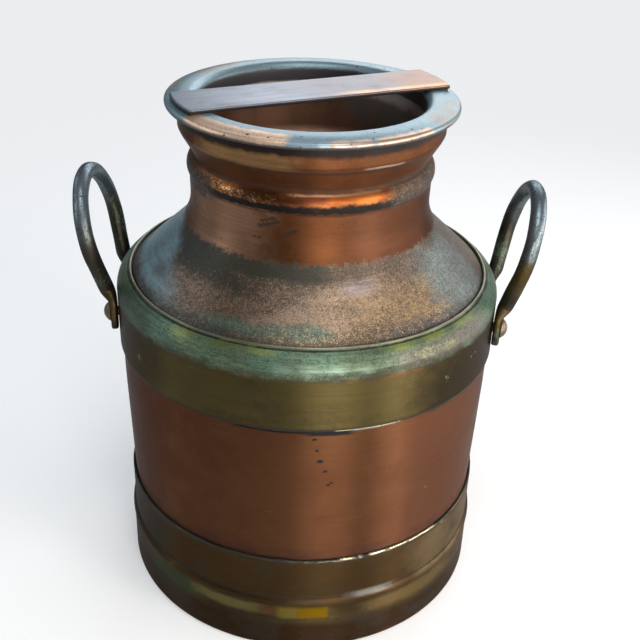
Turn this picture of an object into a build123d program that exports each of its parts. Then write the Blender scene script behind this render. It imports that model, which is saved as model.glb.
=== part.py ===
from build123d import *
import os
from math import acos, asin, atan2, cos, degrees, hypot, radians, sin, tan

# A copper milk pot with brass mountings, two riveted loop handles and a lift-out plug lid.
# Millimetres, +Z up. The origin is the centre of the foot, on the surface that the pot stands on.
# The handles lie on +X and -X, and the pot's front faces -Y.

# Sheet and seams
body_sheet = 1.2            # copper wall of the pot
plate_sheet = 1.2           # copper bottom plate
brass_sheet = 1.5           # base band and collar
neck_sheet = 1.2            # spun copper cone, neck and mouth
lid_sheet = 1.0             # spun copper lid
seam_gap = 0.2              # between two nested sheets
wire_gap = 0.2              # between a wire and the sheet curled round it
curl_slit = 0.5             # between a curl's end and the sheet that it closes on
solder_gap = 0.05           # between a solder run and the sheets beside it

# Body tube
body_foot_radius = 106.2    # outside, down inside the base band
body_swell = 2.2            # how much wider the tube is up inside the collar
swell_height = 70.0         # over which the tube opens, from the base band's top edge up

# Base band
band_height = 64.3
band_lower_proud = 1.0      # how much fuller the lower half of the band is
ridge_height = 34.0
ridge_proud = 1.5
ridge_half_width = 3.2
foot_wire_radius = 1.5
foot_flat = 0.5             # depth of the flat that the foot curl stands on
foot_seat = 0.3             # from the curl up to the tube and the plate that stand on it
foot_slit_angle = 70.0      # where the curl's sheet ends, from level outwards

# Bottom plate
plate_height = 16.0         # height of the plate's rim over the surface
plate_corner = 4.0
plate_crown = 3.0

# Shoulder collar
hem_height = 154.3
skirt_height = 32.6
collar_round = 11.7         # radius of the rounded top
collar_round_angle = 68.0
lip_sheet = 1.4
lip_height = 4.5
lip_proud = 1.3             # how far the lip stands over the rounded top
lip_groove = 0.8            # between the lip and the cone inside it

# Cone, neck and mouth
neck_radius = 66.3
cone_angle = 43.0
cone_sink = 1.4             # from the lip's crest down to the edge of the cone
cone_edge_round = 2.5
cone_skirt = 9.0            # the cone's turned-down edge inside the collar
neck_flare_round = 29.0
neck_band = 24.4            # from the meeting of cone and neck up to the groove
neck_opening = 0.6          # how much the neck opens towards the groove
bead_height = 10.6
bead_proud = 2.0
notch_depth = 1.9
notch_height = 1.4
notch_round = 1.6
funnel_height = 11.4
mouth_flare = 6.3           # how much wider the mouth is than the neck
crease_depth = 1.4
crease_round = 0.8
mouth_band = 14.6
mouth_round = 3.0
mouth_wire_radius = 2.0
mouth_slit_angle = 290.0

# Lid
lid_seat = 0.3              # between the mouth's curl and the flange over it
lid_clearance = 0.8         # between the pan's wall and the notch of the neck
pan_depth = 42.0
pan_taper = 1.8
pan_corner = 6.0
flange_round = 5.0
flange_overhang = 6.5       # how far the flange reaches past the mouth
flange_fall = 1.2           # from the flange's crown down to its edge
flange_bend = 20.0          # radius between the flat crown and the falling edge
rim_wire_radius = 1.0
rim_slit_angle = 160.0

# Strap across the lid
strap_width = 34.0
strap_thickness = 2.2
strap_edge = 0.5
strap_inset = 3.0           # from the flange's edge in to the strap's ends
strap_seat = 0.1            # between the strap and the flange's crown
strap_angle = 26.0
strap_solder_length = 7.0
strap_solder_margin = 0.8

# Handles
rod_radius = 4.5
loop_radius = 31.5          # of the rod's centre line round the top
loop_rise = 28.5            # from the bends above the feet up to the loop's centre
loop_lean = 12.1
bend_rise = 15.0            # from the rivets up to the bends above the feet
foot_spread = 24.0          # from the middle of a handle to each foot
foot_stand_off = 6.0        # from the collar to the rod's centre line, at the bend
pad_width = 15.0
pad_thickness = 4.4
pad_edge = 1.2
pad_seat = 0.1
pad_above_rivet = 6.5
pad_below_rivet = 11.0

# Rivets
rivet_rise = 17.7           # from the collar's hem up to the rivets
rivet_shank_radius = 2.7
rivet_head_radius = 5.7
rivet_head_height = 3.4
rivet_gap = 0.1
rivet_lift = 0.15           # clears the curve of the wall under a flat-faced head or burr
burr_radius = 5.5
burr_thickness = 1.2
peen_radius = 4.2
peen_height = 1.8

# Solder runs
solder_leg = 1.5
bottom_solder_leg = 3.0
lip_solder_height = 2.2

# Places that follow from the sizes above
foot_curl_radius = foot_wire_radius + brass_sheet
foot_curl_height = foot_curl_radius - foot_flat
band_inner_radius = body_foot_radius + seam_gap
band_radius = band_inner_radius + brass_sheet
band_lower_radius = band_radius + band_lower_proud
foot_curl_centre = (band_lower_radius - foot_curl_radius, foot_curl_height)
body_foot_height = foot_curl_height + foot_curl_radius + foot_seat
body_top_radius = body_foot_radius + body_swell
body_swell_height = band_height + swell_height
plate_radius = body_foot_radius - body_sheet - seam_gap

collar_radius = body_top_radius + seam_gap + brass_sheet
skirt_top_height = hem_height + skirt_height
round_centre = (collar_radius - collar_round, skirt_top_height)
round_end = (
    round_centre[0] + collar_round * cos(radians(collar_round_angle)),
    round_centre[1] + collar_round * sin(radians(collar_round_angle)),
)
lip_radius = round_end[0]
lip_top_height = round_end[1] + lip_proud
lip_inner_radius = lip_radius - lip_sheet
body_top_height = skirt_top_height - seam_gap

cone_radius = lip_inner_radius - lip_groove
cone_foot_height = lip_top_height - cone_sink
cone_top_height = cone_foot_height + (cone_radius - neck_radius) * tan(radians(cone_angle))
groove_height = cone_top_height + neck_band
notch_radius = neck_radius - notch_depth
notch_level = groove_height + bead_height + notch_height
mouth_radius = neck_radius + mouth_flare
crease_level = notch_level + funnel_height
mouth_curl_radius = mouth_wire_radius + neck_sheet
mouth_curl_centre = (mouth_radius - mouth_curl_radius, crease_level + mouth_band)
mouth_edge = (mouth_radius, mouth_curl_centre[1])
mouth_top_height = mouth_curl_centre[1] + mouth_curl_radius

crown_height = mouth_top_height + lid_seat + lid_sheet
flange_radius = mouth_radius + flange_overhang
rim_curl_radius = rim_wire_radius + lid_sheet
flange_edge_height = crown_height - flange_fall
rim_curl_centre = (flange_radius - rim_curl_radius, flange_edge_height - rim_curl_radius)
crown_end_radius = mouth_curl_centre[0] + mouth_curl_radius
pan_top_radius = notch_radius - neck_sheet - lid_clearance - lid_sheet
pan_floor_radius = pan_top_radius - pan_taper
pan_floor_height = crown_height - pan_depth

strap_bottom_height = crown_height + strap_seat
strap_end_radius = flange_radius - strap_inset

rivet_height = hem_height + rivet_rise
loop_foot_height = rivet_height + bend_rise
foot_angle = degrees(asin(foot_spread / collar_radius))
pad_inner_radius = collar_radius + pad_seat
body_inner_top_radius = body_top_radius - body_sheet
os.makedirs("parts", exist_ok=True)


def curl(centre, wire_radius, sheet, slit_angle):
    """Adds a curled edge round a wire to the active sketch."""
    with Locations(centre):
        Circle(wire_radius + sheet)
        Circle(wire_radius + wire_gap, mode=Mode.SUBTRACT)
        with PolarLocations(wire_radius + sheet / 2, 1, start_angle=slit_angle):
            Rectangle(2 * sheet, curl_slit, mode=Mode.SUBTRACT)


def wall_plane(angle, radius, height):
    """A plane on the pot's wall at an angle from +X, facing outwards, with its X level."""
    outward = Vector(cos(radians(angle)), sin(radians(angle)), 0)
    across = Vector(-sin(radians(angle)), cos(radians(angle)), 0)
    origin = outward * radius + Vector(0, 0, height)
    return Plane(origin=origin, x_dir=across, z_dir=outward)


def drill_for_rivets():
    """Cuts the rivet holes through the active part."""
    for angle in rivet_angles:
        with BuildSketch(wall_plane(angle, 0, rivet_height)) as hole:
            Circle(rivet_shank_radius + rivet_gap)
        extrude(hole.sketch, amount=rivet_reach, mode=Mode.SUBTRACT)


def wire_ring(centre, wire_radius, name):
    """Makes the wire inside a curled edge."""
    with BuildPart() as wire:
        with BuildSketch(Plane.XZ):
            with Locations(centre):
                Circle(wire_radius)
        revolve(axis=Axis.Z)
    finish(wire, name)


def finish(piece, name):
    """Labels a finished piece and writes it."""
    piece.part.label = name
    export_step(piece.part, f"parts/{name}.step")


rivet_angles = [side + turn * foot_angle for side in (0, 180) for turn in (-1, 1)]
rivet_reach = collar_radius + pad_seat + pad_thickness + rivet_head_height

# Body tube
with BuildPart() as body_shell:
    with BuildSketch(Plane.XZ):
        with BuildLine():
            Polyline(
                (body_foot_radius, body_foot_height),
                (body_foot_radius, band_height),
                (body_top_radius, body_swell_height),
                (body_top_radius, body_top_height),
            )
            offset(amount=body_sheet, side=Side.LEFT, closed=True)
        make_face()
    revolve(axis=Axis.Z)
    drill_for_rivets()
finish(body_shell, "body_shell")

# Bottom plate: a shallow dome with a turned-down rim
with BuildPart() as bottom_plate:
    crown_reach = plate_radius - 2 * plate_corner
    crown_bend = (crown_reach**2 + plate_crown**2) / (2 * plate_crown)
    with BuildSketch(Plane.XZ):
        with BuildLine():
            rim = FilletPolyline(
                (plate_radius, body_foot_height),
                (plate_radius, plate_height),
                (crown_reach, plate_height),
                radius=plate_corner,
            )
            RadiusArc(rim @ 1, (0, plate_height + plate_crown), -crown_bend)
            offset(amount=plate_sheet, side=Side.LEFT, closed=True)
        make_face()
    revolve(axis=Axis.Z)
finish(bottom_plate, "bottom_plate")

# Solder that seals the plate to the tube, up inside
with BuildPart() as bottom_solder:
    with BuildSketch(Plane.XZ):
        with BuildLine():
            wall_radius = body_foot_radius - body_sheet - solder_gap
            corner_centre = (plate_radius - plate_corner, plate_height - plate_corner)
            corner = CenterArc(corner_centre, plate_corner + solder_gap, 0, 90)
            Polyline(
                corner @ 0,
                (wall_radius, corner_centre[1]),
                (wall_radius, plate_height + bottom_solder_leg),
                corner @ 1,
            )
        make_face()
    revolve(axis=Axis.Z)
finish(bottom_solder, "bottom_solder")

# Base band: a slightly waisted upper half, a ridge, a fuller lower half and a curled foot
with BuildPart() as base_band:
    with BuildSketch(Plane.XZ):
        with BuildLine():
            lower = Line(
                (band_lower_radius, foot_curl_height),
                (band_lower_radius, ridge_height - ridge_half_width),
            )
            ridge = ThreePointArc(
                lower @ 1,
                (band_radius + ridge_proud, ridge_height),
                (band_radius, ridge_height + ridge_half_width),
            )
            Line(ridge @ 1, (band_radius, band_height))
            offset(amount=brass_sheet, side=Side.LEFT, closed=True)
        make_face()
        curl(foot_curl_centre, foot_wire_radius, brass_sheet, foot_slit_angle)
        with Locations((foot_curl_centre[0], 0)):
            Rectangle(
                2 * foot_curl_radius,
                foot_flat,
                align=(Align.CENTER, Align.MAX),
                mode=Mode.SUBTRACT,
            )
    revolve(axis=Axis.Z)
finish(base_band, "base_band")

wire_ring(foot_curl_centre, foot_wire_radius, "foot_wire")

# Solder run on the base band's top edge
with BuildPart() as base_solder:
    with BuildSketch(Plane.XZ):
        with BuildLine():
            run_radius = body_foot_radius + solder_gap
            run_height = band_height + solder_gap
            Polyline(
                (run_radius, run_height),
                (run_radius + solder_leg, run_height),
                (run_radius, run_height + solder_leg),
                close=True,
            )
        make_face()
    revolve(axis=Axis.Z)
    with BuildSketch(Plane.XZ):
        with BuildLine():
            Polyline(
                (0, band_height),
                (run_radius, band_height),
                (body_top_radius + solder_gap, body_swell_height),
                (0, body_swell_height),
                close=True,
            )
        make_face()
    revolve(axis=Axis.Z, mode=Mode.SUBTRACT)
finish(base_solder, "base_solder")

# Shoulder collar: skirt, rounded top and a raised lip
with BuildPart() as shoulder_collar:
    with BuildSketch(Plane.XZ):
        with BuildLine():
            Line((collar_radius, hem_height), (collar_radius, skirt_top_height))
            CenterArc(round_centre, collar_round, 0, collar_round_angle)
            offset(amount=brass_sheet, side=Side.LEFT, closed=True)
        make_face()
        with Locations((lip_radius - lip_sheet / 2, lip_top_height - lip_height / 2)):
            SlotOverall(lip_height, lip_sheet, rotation=90)
    revolve(axis=Axis.Z)
    drill_for_rivets()
finish(shoulder_collar, "shoulder_collar")

# Solder run under the collar's hem
with BuildPart() as hem_solder:
    with BuildSketch(Plane.XZ):
        with BuildLine():
            run_radius = body_top_radius + solder_gap
            run_height = hem_height - solder_gap
            Polyline(
                (run_radius, run_height),
                (run_radius + solder_leg, run_height),
                (run_radius, run_height - solder_leg),
                close=True,
            )
        make_face()
    revolve(axis=Axis.Z)
finish(hem_solder, "hem_solder")

# Cone, neck, bead, notch, funnel and curled mouth, spun from one sheet
with BuildPart() as neck:
    groove = (neck_radius + neck_opening, groove_height)
    bead_crest = (neck_radius + bead_proud, groove_height + bead_height / 2)
    bead_top = (neck_radius - notch_depth / 2, groove_height + bead_height)
    with BuildSketch(Plane.XZ):
        with BuildLine():
            FilletPolyline(
                (cone_radius, cone_foot_height - cone_skirt),
                (cone_radius, cone_foot_height),
                (neck_radius, cone_top_height),
                groove,
                radius=[cone_edge_round, neck_flare_round],
            )
            ThreePointArc(groove, bead_crest, bead_top)
            FilletPolyline(
                bead_top,
                (notch_radius, notch_level),
                (mouth_radius - crease_depth, crease_level),
                (mouth_radius, crease_level + mouth_round),
                mouth_edge,
                radius=[notch_round, crease_round, mouth_round],
            )
            offset(amount=neck_sheet, side=Side.LEFT, closed=True)
        make_face()
        curl(mouth_curl_centre, mouth_wire_radius, neck_sheet, mouth_slit_angle)
    revolve(axis=Axis.Z)
finish(neck, "neck")

wire_ring(mouth_curl_centre, mouth_wire_radius, "mouth_wire")

# Solder run in the groove between the collar's lip and the cone
with BuildPart() as lip_solder:
    with BuildSketch(Plane.XZ):
        with Locations((lip_inner_radius - lip_groove / 2, lip_top_height - lip_height)):
            Rectangle(
                lip_groove - 2 * solder_gap,
                lip_solder_height,
                align=(Align.CENTER, Align.MIN),
            )
    revolve(axis=Axis.Z)
finish(lip_solder, "lip_solder")

# Lid: a deep pan with a wide crowned flange and a curled edge
with BuildPart() as lid_pan:
    with BuildSketch(Plane.XZ):
        with BuildLine():
            FilletPolyline(
                (0, pan_floor_height),
                (pan_floor_radius, pan_floor_height),
                (pan_top_radius, crown_height),
                (crown_end_radius, crown_height),
                (rim_curl_centre[0], flange_edge_height),
                radius=[pan_corner, flange_round, flange_bend],
            )
            offset(amount=lid_sheet, side=Side.RIGHT, closed=True)
        make_face()
        curl(rim_curl_centre, rim_wire_radius, lid_sheet, rim_slit_angle)
    revolve(axis=Axis.Z)
finish(lid_pan, "lid_pan")

wire_ring(rim_curl_centre, rim_wire_radius, "lid_rim_wire")

# Flat strap across the lid, its ends cut to the flange's round
with BuildPart() as lid_strap:
    with BuildSketch(Plane.XY.offset(strap_bottom_height)):
        Circle(strap_end_radius)
        Rectangle(2 * strap_end_radius, strap_width, rotation=strap_angle, mode=Mode.INTERSECT)
    extrude(amount=strap_thickness)
    fillet(lid_strap.faces().sort_by(Axis.Z)[-1].edges(), strap_edge)
finish(lid_strap, "lid_strap")

# Solder under the strap's two ends, down to the falling flange
with BuildPart() as strap_solder:
    with BuildSketch(Plane.XY.offset(strap_bottom_height - solder_gap)):
        Circle(strap_end_radius - strap_solder_margin)
        Circle(strap_end_radius - strap_solder_margin - strap_solder_length, mode=Mode.SUBTRACT)
        Rectangle(
            2 * strap_end_radius,
            strap_width - 2 * strap_solder_margin,
            rotation=strap_angle,
            mode=Mode.INTERSECT,
        )
    extrude(amount=-flange_fall)
    with BuildSketch(Plane.XZ):
        with BuildLine():
            Polyline(
                (0, pan_floor_height),
                (0, crown_height),
                (crown_end_radius, crown_height),
                (rim_curl_centre[0], flange_edge_height),
                (flange_radius, flange_edge_height),
                (flange_radius, pan_floor_height),
                close=True,
            )
        make_face()
    revolve(axis=Axis.Z, mode=Mode.SUBTRACT)
finish(strap_solder, "strap_solder")

# Right handle: a round rod loop whose ends are hammered into pads on the collar
foot_reach = collar_radius * cos(radians(foot_angle)) + foot_stand_off
lean_plane = Plane(
    origin=(foot_reach, 0, loop_foot_height),
    x_dir=(0, 1, 0),
    z_dir=(cos(radians(loop_lean)), 0, -sin(radians(loop_lean))),
)
foot_to_centre = hypot(foot_spread, loop_rise)
tangent_angle = atan2(-loop_rise, foot_spread) + acos(loop_radius / foot_to_centre)
leg_top = (loop_radius * cos(tangent_angle), loop_rise + loop_radius * sin(tangent_angle))
with BuildPart() as handle_right:
    with BuildLine(lean_plane):
        first_leg = Line((foot_spread, 0), leg_top)
        over_top = ThreePointArc(first_leg @ 1, (0, loop_rise + loop_radius), (-leg_top[0], leg_top[1]))
        last_leg = Line(over_top @ 1, (-foot_spread, 0))
    with BuildSketch(Plane(origin=first_leg @ 0, z_dir=first_leg % 0)):
        Circle(rod_radius)
    sweep()
    for turn, leg_end, leg_way in ((1, first_leg @ 0, first_leg % 0), (-1, last_leg @ 1, -(last_leg % 1))):
        pad_plane = wall_plane(turn * foot_angle, pad_inner_radius, rivet_height)
        with BuildSketch(pad_plane):
            with Locations((0, pad_above_rivet / 2)):
                Rectangle(pad_width, pad_above_rivet)
            with Locations((0, pad_width / 2 - pad_below_rivet)):
                Circle(pad_width / 2)
            with Locations((0, (pad_width / 2 - pad_below_rivet) / 2)):
                Rectangle(pad_width, pad_below_rivet - pad_width / 2)
        extrude(amount=pad_thickness)
        pad_face = handle_right.faces(Select.LAST).sort_by(Axis((0, 0, rivet_height), pad_plane.z_dir))[-1]
        fillet(pad_face.edges().sort_by(Axis.Z)[:-1], pad_edge)
        pad_middle_radius = pad_inner_radius + pad_thickness / 2
        pad_top = wall_plane(turn * foot_angle, pad_middle_radius, rivet_height + pad_above_rivet)
        with BuildSketch(Plane(origin=pad_top.origin, x_dir=pad_top.x_dir, z_dir=(0, 0, 1))):
            RectangleRounded(pad_width, pad_thickness, pad_edge)
        with BuildSketch(Plane(origin=leg_end, x_dir=pad_top.x_dir, z_dir=leg_way)):
            Circle(rod_radius)
        loft()
    drill_for_rivets()
finish(handle_right, "handle_right")

# Left handle: the same, mirrored
with BuildPart() as handle_left:
    mirror(handle_right.part, about=Plane.YZ)
finish(handle_left, "handle_left")

# Rivets: a domed head outside, a shank through pad, collar and wall, and a closed end inside
head_seat = collar_radius + pad_seat + pad_thickness + rivet_lift
burr_seat = body_inner_top_radius - rivet_lift
with BuildPart() as handle_rivets:
    for angle in rivet_angles:
        shank_length = head_seat - burr_seat + burr_thickness + rivet_gap
        shank_plane = wall_plane(angle, head_seat - shank_length, rivet_height)
        with BuildSketch(shank_plane):
            Circle(rivet_shank_radius)
        extrude(amount=shank_length)
        for plane, way, radius, height in (
            (wall_plane(angle, head_seat, rivet_height), 1, rivet_head_radius, rivet_head_height),
            (shank_plane, -1, peen_radius, peen_height),
        ):
            dome = (radius**2 + height**2) / (2 * height)
            profile_plane = Plane(origin=plane.origin, x_dir=plane.x_dir, z_dir=-plane.y_dir)
            with BuildSketch(profile_plane):
                with BuildLine():
                    base = Line((0, 0), (radius, 0))
                    RadiusArc(base @ 1, (0, way * height), -way * dome)
                    Line((0, way * height), (0, 0))
                make_face()
            revolve(axis=Axis(plane.origin, plane.z_dir))
finish(handle_rivets, "handle_rivets")

# Burrs that the rivets are closed over
with BuildPart() as rivet_burrs:
    for angle in rivet_angles:
        with BuildSketch(wall_plane(angle, burr_seat - burr_thickness, rivet_height)):
            Circle(burr_radius)
            Circle(rivet_shank_radius + rivet_gap, mode=Mode.SUBTRACT)
        extrude(amount=burr_thickness)
finish(rivet_burrs, "rivet_burrs")
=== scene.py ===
"""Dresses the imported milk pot: spun, seamed and riveted copper and brass under years of tarnish."""

from __future__ import annotations

import functools
import logging
import math
from dataclasses import dataclass, field
from enum import Enum
from typing import Any, Callable, Iterator, Sequence

import bmesh
import bpy
import numpy as np
from mathutils import Matrix, Vector


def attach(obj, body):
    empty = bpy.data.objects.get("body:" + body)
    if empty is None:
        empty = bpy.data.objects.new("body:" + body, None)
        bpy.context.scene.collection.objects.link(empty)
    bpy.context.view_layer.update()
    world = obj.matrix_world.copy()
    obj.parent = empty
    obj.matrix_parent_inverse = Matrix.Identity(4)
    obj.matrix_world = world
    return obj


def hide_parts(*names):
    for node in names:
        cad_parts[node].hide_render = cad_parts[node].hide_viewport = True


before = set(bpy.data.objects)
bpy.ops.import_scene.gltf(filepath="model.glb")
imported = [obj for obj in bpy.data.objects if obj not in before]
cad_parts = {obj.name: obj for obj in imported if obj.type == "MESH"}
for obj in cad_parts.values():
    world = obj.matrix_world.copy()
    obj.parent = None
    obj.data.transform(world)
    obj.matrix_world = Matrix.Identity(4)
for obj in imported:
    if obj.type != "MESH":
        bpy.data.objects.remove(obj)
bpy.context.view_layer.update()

MM = 0.001
SEGMENTS = 256
STRAP_ANGLE = 26.0
LOG = logging.getLogger("milk_pot")

Point = tuple[float, float]
Range = tuple[float, float]
Colour = tuple[float, float, float, float]
Vector3 = tuple[float, float, float]
Shade = tuple[float, float, float]
Tree = bpy.types.NodeTree
Socket = bpy.types.NodeSocket
Material = bpy.types.Material
Piece = bpy.types.Object


class Body(Enum):
    """The two bodies that the lid's joint parts."""

    POT = "pot"
    LID = "lid"


class Sheet(Enum):
    """The side of a drawn line that the metal lies on, seen along the line."""

    LEFT = 1
    RIGHT = -1


def tone(red: float, green: float, blue: float) -> Colour:
    """Turns a colour on the 0 to 255 screen scale into the linear colour that a shader takes."""
    steps = [value / 255 for value in (red, green, blue)]
    return tuple(s / 12.92 if s <= 0.04045 else ((s + 0.055) / 1.055) ** 2.4 for s in steps) + (1.0,)


# Lines and outlines, in millimetres of radius and height


def arc(centre: Point, radius: float, start: float, end: float, step: float = 8.0) -> list[Point]:
    """Samples an arc.

    Args:
        centre: middle of the arc.
        radius: its radius.
        start: angle of its first point in degrees, from level outwards.
        end: angle of its last point.
        step: widest angle between two points.

    Returns:
        The arc's points, both ends included.
    """
    count = max(2, math.ceil(abs(end - start) / step))
    angles = np.radians(np.linspace(start, end, count + 1))
    return [(centre[0] + radius * math.cos(a), centre[1] + radius * math.sin(a)) for a in angles]


def bow(start: Point, crest: Point, end: Point) -> list[Point]:
    """Samples the arc through three points, in that order."""
    (ax, ay), (bx, by), (cx, cy) = start, crest, end
    twice = 2 * (ax * (by - cy) + bx * (cy - ay) + cx * (ay - by))
    squares = [x * x + y * y for x, y in (start, crest, end)]
    mid_x = (squares[0] * (by - cy) + squares[1] * (cy - ay) + squares[2] * (ay - by)) / twice
    mid_y = (squares[0] * (cx - bx) + squares[1] * (ax - cx) + squares[2] * (bx - ax)) / twice
    angles = [math.degrees(math.atan2(y - mid_y, x - mid_x)) for x, y in (start, crest, end)]
    turn = (angles[2] - angles[0]) % 360
    if (angles[1] - angles[0]) % 360 > turn:
        turn -= 360
    return arc((mid_x, mid_y), math.hypot(ax - mid_x, ay - mid_y), angles[0], angles[0] + turn)


def rounded(corners: Sequence[Vector3]) -> list[Point]:
    """Rounds the corners of a line.

    Args:
        corners: radius, height and corner radius of each point.

    Returns:
        The line's points, with an arc in each corner that has a radius.
    """
    line = [corners[0][:2]]
    for before, corner, after in zip(corners, corners[1:], corners[2:]):
        middle = np.array(corner[:2])
        back = np.array(before[:2]) - middle
        ahead = np.array(after[:2]) - middle
        back /= np.linalg.norm(back)
        ahead /= np.linalg.norm(ahead)
        half = math.acos(np.clip(back @ ahead, -1, 1)) / 2
        if corner[2] <= 0 or half > math.radians(89.9):
            line.append(corner[:2])
            continue
        bisector = (back + ahead) / np.linalg.norm(back + ahead)
        centre = middle + bisector * corner[2] / math.sin(half)
        first = middle + back * corner[2] / math.tan(half) - centre
        last = middle + ahead * corner[2] / math.tan(half) - centre
        start = math.degrees(math.atan2(first[1], first[0]))
        turn = (math.degrees(math.atan2(last[1], last[0])) - start + 180) % 360 - 180
        line += arc((centre[0], centre[1]), corner[2], start, start + turn)
    return line + [corners[-1][:2]]


def divided(line: Sequence[Point], spacing: float) -> list[Point]:
    """Adds points to a line's long runs, and drops points that fall on their neighbours."""
    result = [line[0]]
    for x, y in line[1:]:
        px, py = result[-1]
        length = math.hypot(x - px, y - py)
        if length < 0.02:
            continue
        count = max(1, round(length / spacing))
        result += [(px + (x - px) * k / count, py + (y - py) * k / count) for k in range(1, count + 1)]
    return result


def folded(line: Sequence[Point], thickness: float, side: Sheet, spacing: float = 2.0) -> list[Point]:
    """Gives a line the thickness of sheet metal.

    Args:
        line: one face of the sheet. It may start on the axis.
        thickness: of the sheet.
        side: where the metal lies, seen along the line.
        spacing: widest distance between two points.

    Returns:
        The sheet's closed outline, with rounded edges where it ends off the axis.
    """
    face = np.array(divided(line, spacing))
    runs = np.diff(face, axis=0)
    runs /= np.linalg.norm(runs, axis=1)[:, None]
    normals = np.column_stack([-runs[:, 1], runs[:, 0]]) * side.value
    joined = np.vstack([normals[:1], normals[:-1] + normals[1:], normals[-1:]])
    joined /= np.linalg.norm(joined, axis=1)[:, None]
    joined[1:-1] /= np.clip(np.sum(joined[1:-1] * normals[1:], axis=1), 0.5, 1)[:, None]
    other = face + joined * thickness
    other[:, 0] = np.maximum(other[:, 0], 0)
    outline = [tuple(point) for point in face]
    outline += edge_round(face[-1], other[-1], runs[-1])
    outline += [tuple(point) for point in other[::-1]]
    if face[0][0] > 0:
        outline += edge_round(other[0], face[0], -runs[0])
    return outline


def edge_round(start: np.ndarray, end: np.ndarray, outward: np.ndarray) -> list[Point]:
    """Rounds a sheet's cut edge from one face to the other, without the two end points."""
    middle = (start + end) / 2
    across = (start - end) / 2
    reach = outward * np.linalg.norm(across) * 0.8
    angles = np.radians([30, 60, 90, 120, 150])
    return [tuple(middle + across * math.cos(a) + reach * math.sin(a)) for a in angles]


@dataclass(frozen=True)
class Dent:
    """A shallow dent or swelling in the pot's wall: place in degrees and mm, reach and depth in mm."""

    azimuth: float
    height: float
    reach: float
    depth: float


# Share, lobes round the pot, phase and pitch in mm of each wave in hand-worked metal
WAVES = (
    (1.0, 2, 0.6, math.inf),
    (0.6, 3, -1.1, 90),
    (0.4, 5, 2.0, -55),
    (0.25, 9, 0.0, 31),
    (0.15, 17, -0.7, 12),
    (0.1, 31, 0.0, 9),
)


@dataclass(frozen=True)
class Unevenness:
    """How far hand-worked metal departs from a true round, never outside it but for its dents."""

    depth: float
    dents: tuple[Dent, ...] = ()

    def shift(self, angle: np.ndarray, radius: np.ndarray, height: np.ndarray) -> np.ndarray:
        """Gives the change of radius in mm at places given by angle in radians, radius and height in mm."""
        wave = sum(
            share * np.sin(lobes * angle + phase + height / pitch) for share, lobes, phase, pitch in WAVES
        )
        result = -self.depth * (0.5 + wave / 5.0)
        for dent in self.dents:
            away = (angle - math.radians(dent.azimuth) + math.pi) % (2 * math.pi) - math.pi
            square = (away * radius) ** 2 + (height - dent.height) ** 2
            result += dent.depth * np.exp(-square / dent.reach**2)
        return result


def added(name: str, data: bpy.types.ID) -> Piece:
    """Puts a new object in the scene."""
    piece = bpy.data.objects.new(name, data)
    bpy.context.scene.collection.objects.link(piece)
    return piece


def own_mesh(name: str, mesh: bpy.types.Mesh, material: Material) -> Piece:
    """Puts a finished mesh in the scene as one smooth-shaded piece at the origin.

    Args:
        name: the piece's name.
        mesh: its mesh, in metres.
        material: its finish.

    Returns:
        The new object.
    """
    mesh.materials.clear()
    mesh.materials.append(material)
    mesh.polygons.foreach_set("material_index", np.zeros(len(mesh.polygons), np.int32))
    mesh.polygons.foreach_set("use_smooth", np.ones(len(mesh.polygons), bool))
    mesh.update()
    return added(name, mesh)


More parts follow.
